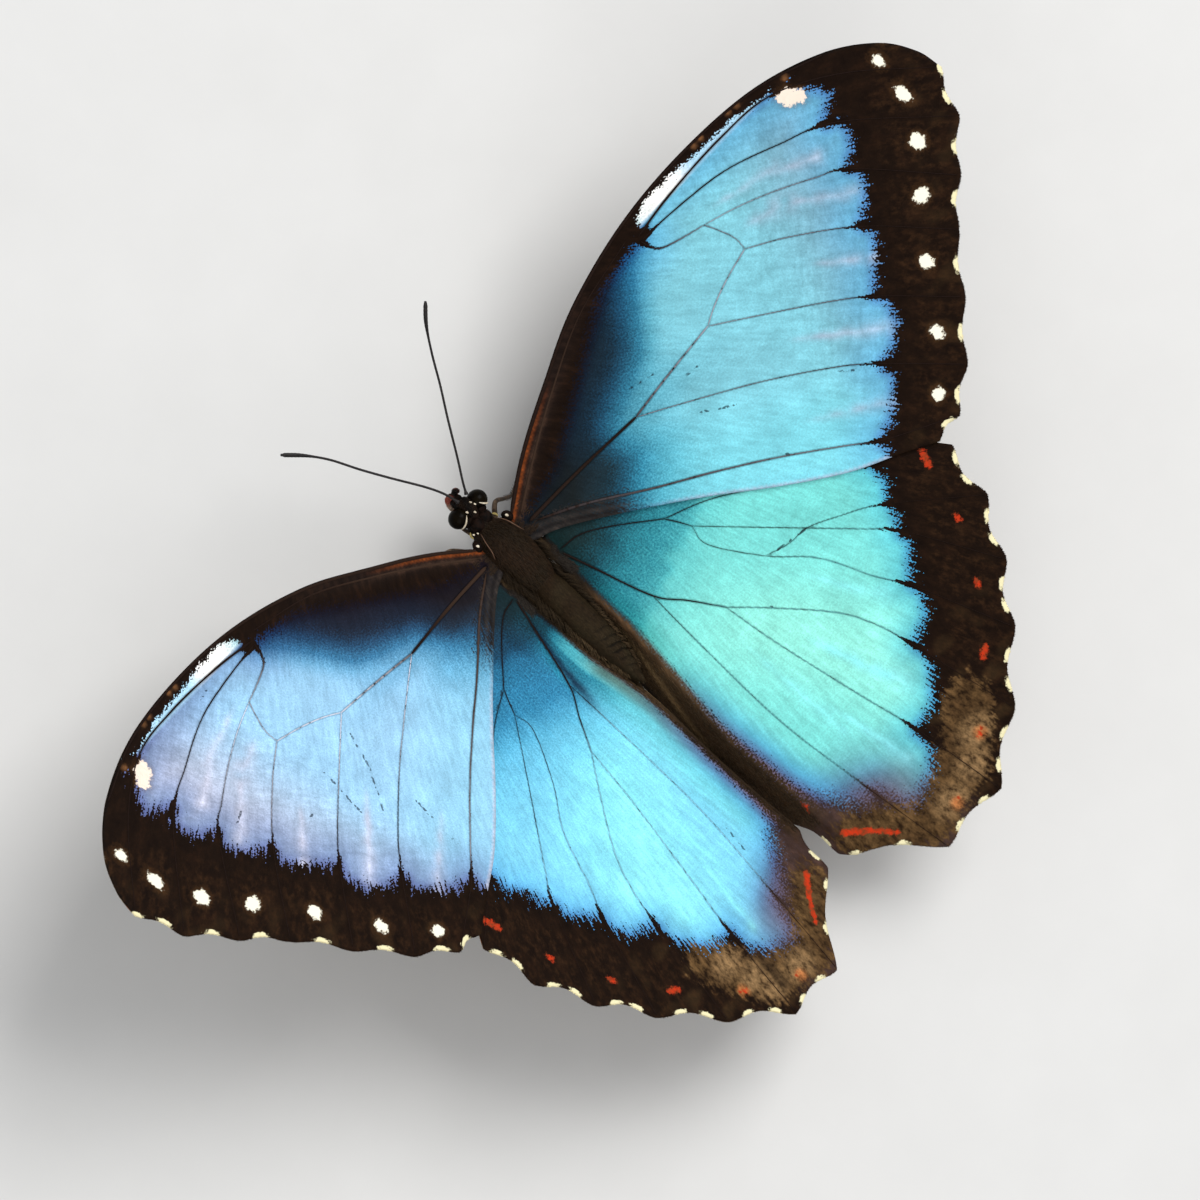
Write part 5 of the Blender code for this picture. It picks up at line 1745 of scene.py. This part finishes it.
def head_details():
    """Lobes of head and shoulders, folds in the clefts, white dots and pale lines."""
    for side, sign in SIDES.items():
        for name, (x, y, z), radii, turn, tilt, wobble, seed in SIDE_LOBES:
            look = (SKIN_FOLD, "body_fur") if name.endswith("fold") else (LOBE, "head_black")
            lump(name.format(side), (sign * x, y, z), radii, *look, turn * sign, tilt * sign,
                 wobble, seed)
    lump("tail_fold", (0.55, 19.9, -2.45), (0.55, 2.5, 0.60), SKIN_FOLD, "body_fur", 0.0, 0.0,
         0.03, 11)
    lump("face_lobe", (0.0, -7.15, -0.95), (0.72, 0.62, 0.85), LOBE, "head_black", 0.0, 0.0,
         0.04, 9)
    for k, (x, y, z, r) in enumerate(DOTS):
        lump(f"dot_{k}", (x, y, z), (r * 0.72, r * 1.0, r * 0.5), CREAM, "head_black", 0.4, 0.0,
             0.12, k)
    for name, sign, thick, tint, points in PALE_LINES:
        tapered(name, points, sign, 0.08, thick, 0.6, 0.04, 8, SKIN, tint)


# ---------------------------------------------------------------- fringe and wing hair

def fringe(kind, side):
    """Short scales along the outer margin, cream in the dashes."""
    rng = np.random.default_rng(31)
    margin = evenly(OUTER_MARGIN[kind], 0.07)
    count = len(margin)
    tangent = np.gradient(margin, axis=0)
    tangent /= np.linalg.norm(tangent, axis=1)[:, None]
    outwards = np.stack([tangent[:, 1], -tangent[:, 0]], 1)
    inset = (margin - outwards * 0.20).T
    base = sheet_point(kind, side, *inset)
    lies = sheet_point(kind, side, *(margin + outwards).T) - base + rng.normal(0, 0.12, base.shape)
    cream = smooth(dash_field(kind, margin - outwards * 0.05), -0.05, 0.08)
    dark = np.tile((0.016, 0.008, 0.004), (count, 1))
    if kind == "hind":
        dark = blend(dark, (0.06, 0.036, 0.018), smooth(margin[:, 1], 44, 50))
    tint = blend(dark, (0.80, 0.72, 0.44), cream) * rng.uniform(0.75, 1.2, (count, 1))
    lengths = rng.uniform(0.24, 0.36, count)
    widths = rng.uniform(0.08, 0.13, count)
    place = np.stack([np.linspace(0.02, 0.97, count), np.full(count, 0.4)], 1)
    piece = tufts(f"{kind}wing_{side}_fringe", base, sheet_normal(kind, side, *inset), lies,
                  lengths, widths, tint, place, droop=0.05, tip=1.1, rise=0.02)


def wing_hair(side):
    """Hair on the wings' bases and along the wall beside the abdomen."""
    rng = np.random.default_rng(47)
    patches = []

    def patch(kind, u, v, direction, length, tint):
        on = sheet_point(kind, side, u, v)
        n = sheet_normal(kind, side, u, v)
        way = sheet_point(kind, side, u + direction[0], v + direction[1]) - on
        way = way / np.linalg.norm(way, axis=1)[:, None] + rng.normal(0, 0.14, on.shape)
        lengths = length * rng.uniform(0.6, 1.3, len(u))
        tints = np.asarray(tint) * rng.uniform(0.6, 1.5, (len(u), 1))
        place = np.stack([np.clip(0.1 + u / 70, 0.02, 0.97),
                          np.clip(0.3 + v / 90, 0.02, 0.97)], 1)
        patches.append((on + n * SKIN_HALF, n, way, lengths, tints, place))

    u = rng.uniform(-1.3, 1.0, 420)
    v = rng.uniform(-2.0, 1.2, 420) - 0.45 * np.maximum(u, 0)
    patch("fore", u, v, (1.0, -0.15), 0.6, (0.020, 0.011, 0.006))
    u = rng.uniform(-0.9, 0.3, 320)
    v = 3.4 + rng.uniform(0.0, 3.5, 320)
    patch("hind", u, v, (0.35, 0.9), 0.7, (0.018, 0.014, 0.011))
    v = rng.uniform(6.0, 45.0, 8000)
    past = rng.uniform(0.0, 1.0, 8000) ** 0.8 * 5.0
    past = past - (0.35 if side == "left" else -0.35)
    u = fold_line(side, v) - past
    keep = within(np.stack([u, v], 1), wing_outline("hind")) > 0.45
    past, u, v = past[keep], u[keep], v[keep]
    # Hair on the wall takes the wall's browns, with the same painted shade on the left
    tint = layered((0.100, 0.058, 0.029), ((0.060, 0.037, 0.018), smooth(past, 0.0, 1.4)),
                   ((0.044, 0.026, 0.013), smooth(v, 24, 29)))
    # Painted highlight along the tan ridge, on the wall's hair as on the wall
    tint = layered(tint * WALL_SHADE[side],
                   ((0.17, 0.110, 0.052), ridge_highlight_share(past, v) * smooth(v, 34, 26)),
                   ((0.014, 0.009, 0.006), smooth(past, 3.9, 4.6)))
    tint = blend((0.024, 0.017, 0.010), tint, smooth(v, 8, 14))
    patch("hind", u, v, (-0.25, 1.0), 0.50, tint)
    roots, normals, lies, lengths, tints, places = map(np.concatenate, zip(*patches))
    piece = tufts(f"wings_{side}_hair", roots, normals, lies, lengths,
                  rng.uniform(0.05, 0.08, len(roots)), tints, places, rise=0.12, droop=0.10)


# ---------------------------------------------------------------- build

def in_eye(y, angle):
    """True on the parts of the head that the eyes cover."""
    return (y > -6.7) & (y < -4.7) & (np.sin(angle) < 0.72)


body_skin()
for coat in COATS:
    body_coat(*coat, in_eye if coat[0] == "coat_head" else None)
side_fur()
proboscis()
head_details()
for wing_side, side_sign in SIDES.items():
    eye(wing_side, side_sign)
    antenna(wing_side, side_sign)
    palp(wing_side, side_sign)
    for leg_name, joints in LEGS.items():
        leg(leg_name, wing_side, side_sign, *joints)
    for wing_kind in ("fore", "hind"):
        upper_skin = wing_skin(wing_kind, wing_side, True)
        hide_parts(f"{wing_kind}wing_{wing_side}")
        wing_skin(wing_kind, wing_side, False)
        wing_veins(wing_kind, wing_side)
        fringe(wing_kind, wing_side)
    wing_hair(wing_side)


# ---------------------------------------------------------------- floor, light and camera

def floor():
    """Pale floor with a faint grain."""
    mesh = bpy.data.meshes.new("floor")
    signs = ((-1, -1), (1, -1), (1, 1), (-1, 1))
    corners = [(x * FLOOR_HALF, y * FLOOR_HALF, 0) for x, y in signs]
    mesh.from_pydata(corners, [], [(0, 1, 2, 3)])
    g = Graph("floor")
    colour = g.mix(g.noise(g.place(), 60.0, 4.0, 0.6), (0.64, 0.63, 0.61), (0.70, 0.69, 0.67))
    mesh.materials.append(g.finish(colour, 0.75, 0.2))
    place_in_scene(bpy.data.objects.new("floor", mesh))


def area_light(name, place, size, power):
    """Soft square light that looks at the butterfly."""
    lamp = bpy.data.lights.new(name, "AREA")
    lamp.size = size
    lamp.energy = power
    obj = place_in_scene(bpy.data.objects.new(name, lamp))
    obj.location = place
    away = Vector((0, 0, 0.015)) - Vector(place)
    obj.rotation_euler = away.to_track_quat("-Z", "Y").to_euler()


def camera():
    """Camera over the butterfly, turned with it."""
    az, el = CAMERA_AZIMUTH, CAMERA_ELEVATION
    back = Vector((math.cos(el) * math.cos(az), math.cos(el) * math.sin(az), math.sin(el)))
    right = Vector((0, 0, 1)).cross(back).normalized()
    up = back.cross(right)
    c, s = math.cos(CAMERA_ROLL), math.sin(CAMERA_ROLL)
    right, up = right * c + up * s, up * c - right * s
    data = bpy.data.cameras.new("camera")
    data.sensor_width = CAMERA_SENSOR
    data.lens = CAMERA_SENSOR * CAMERA_LENS_PER_SENSOR
    data.clip_start = 0.01
    obj = place_in_scene(bpy.data.objects.new("camera", data))
    turn = Matrix((right, up, back)).transposed().to_4x4()
    place = Vector(CAMERA_TARGET) * MM + back * CAMERA_DISTANCE * MM
    obj.matrix_world = Matrix.Translation(place) @ turn
    bpy.context.scene.camera = obj


def surroundings():
    """Even pale light from all round."""
    world = bpy.data.worlds.new("studio")
    world.use_nodes = True
    background = world.node_tree.nodes["Background"]
    background.inputs["Color"].default_value = (0.93, 0.96, 1.0, 1.0)
    background.inputs["Strength"].default_value = 0.55
    bpy.context.scene.world = world
    bpy.context.scene.view_settings.view_transform = "Standard"


floor()
area_light("key", (-0.35, -0.05, 0.75), 0.5, 5.0)
area_light("fill", (0.55, 0.35, 0.6), 0.6, 2.0)
surroundings()
camera()
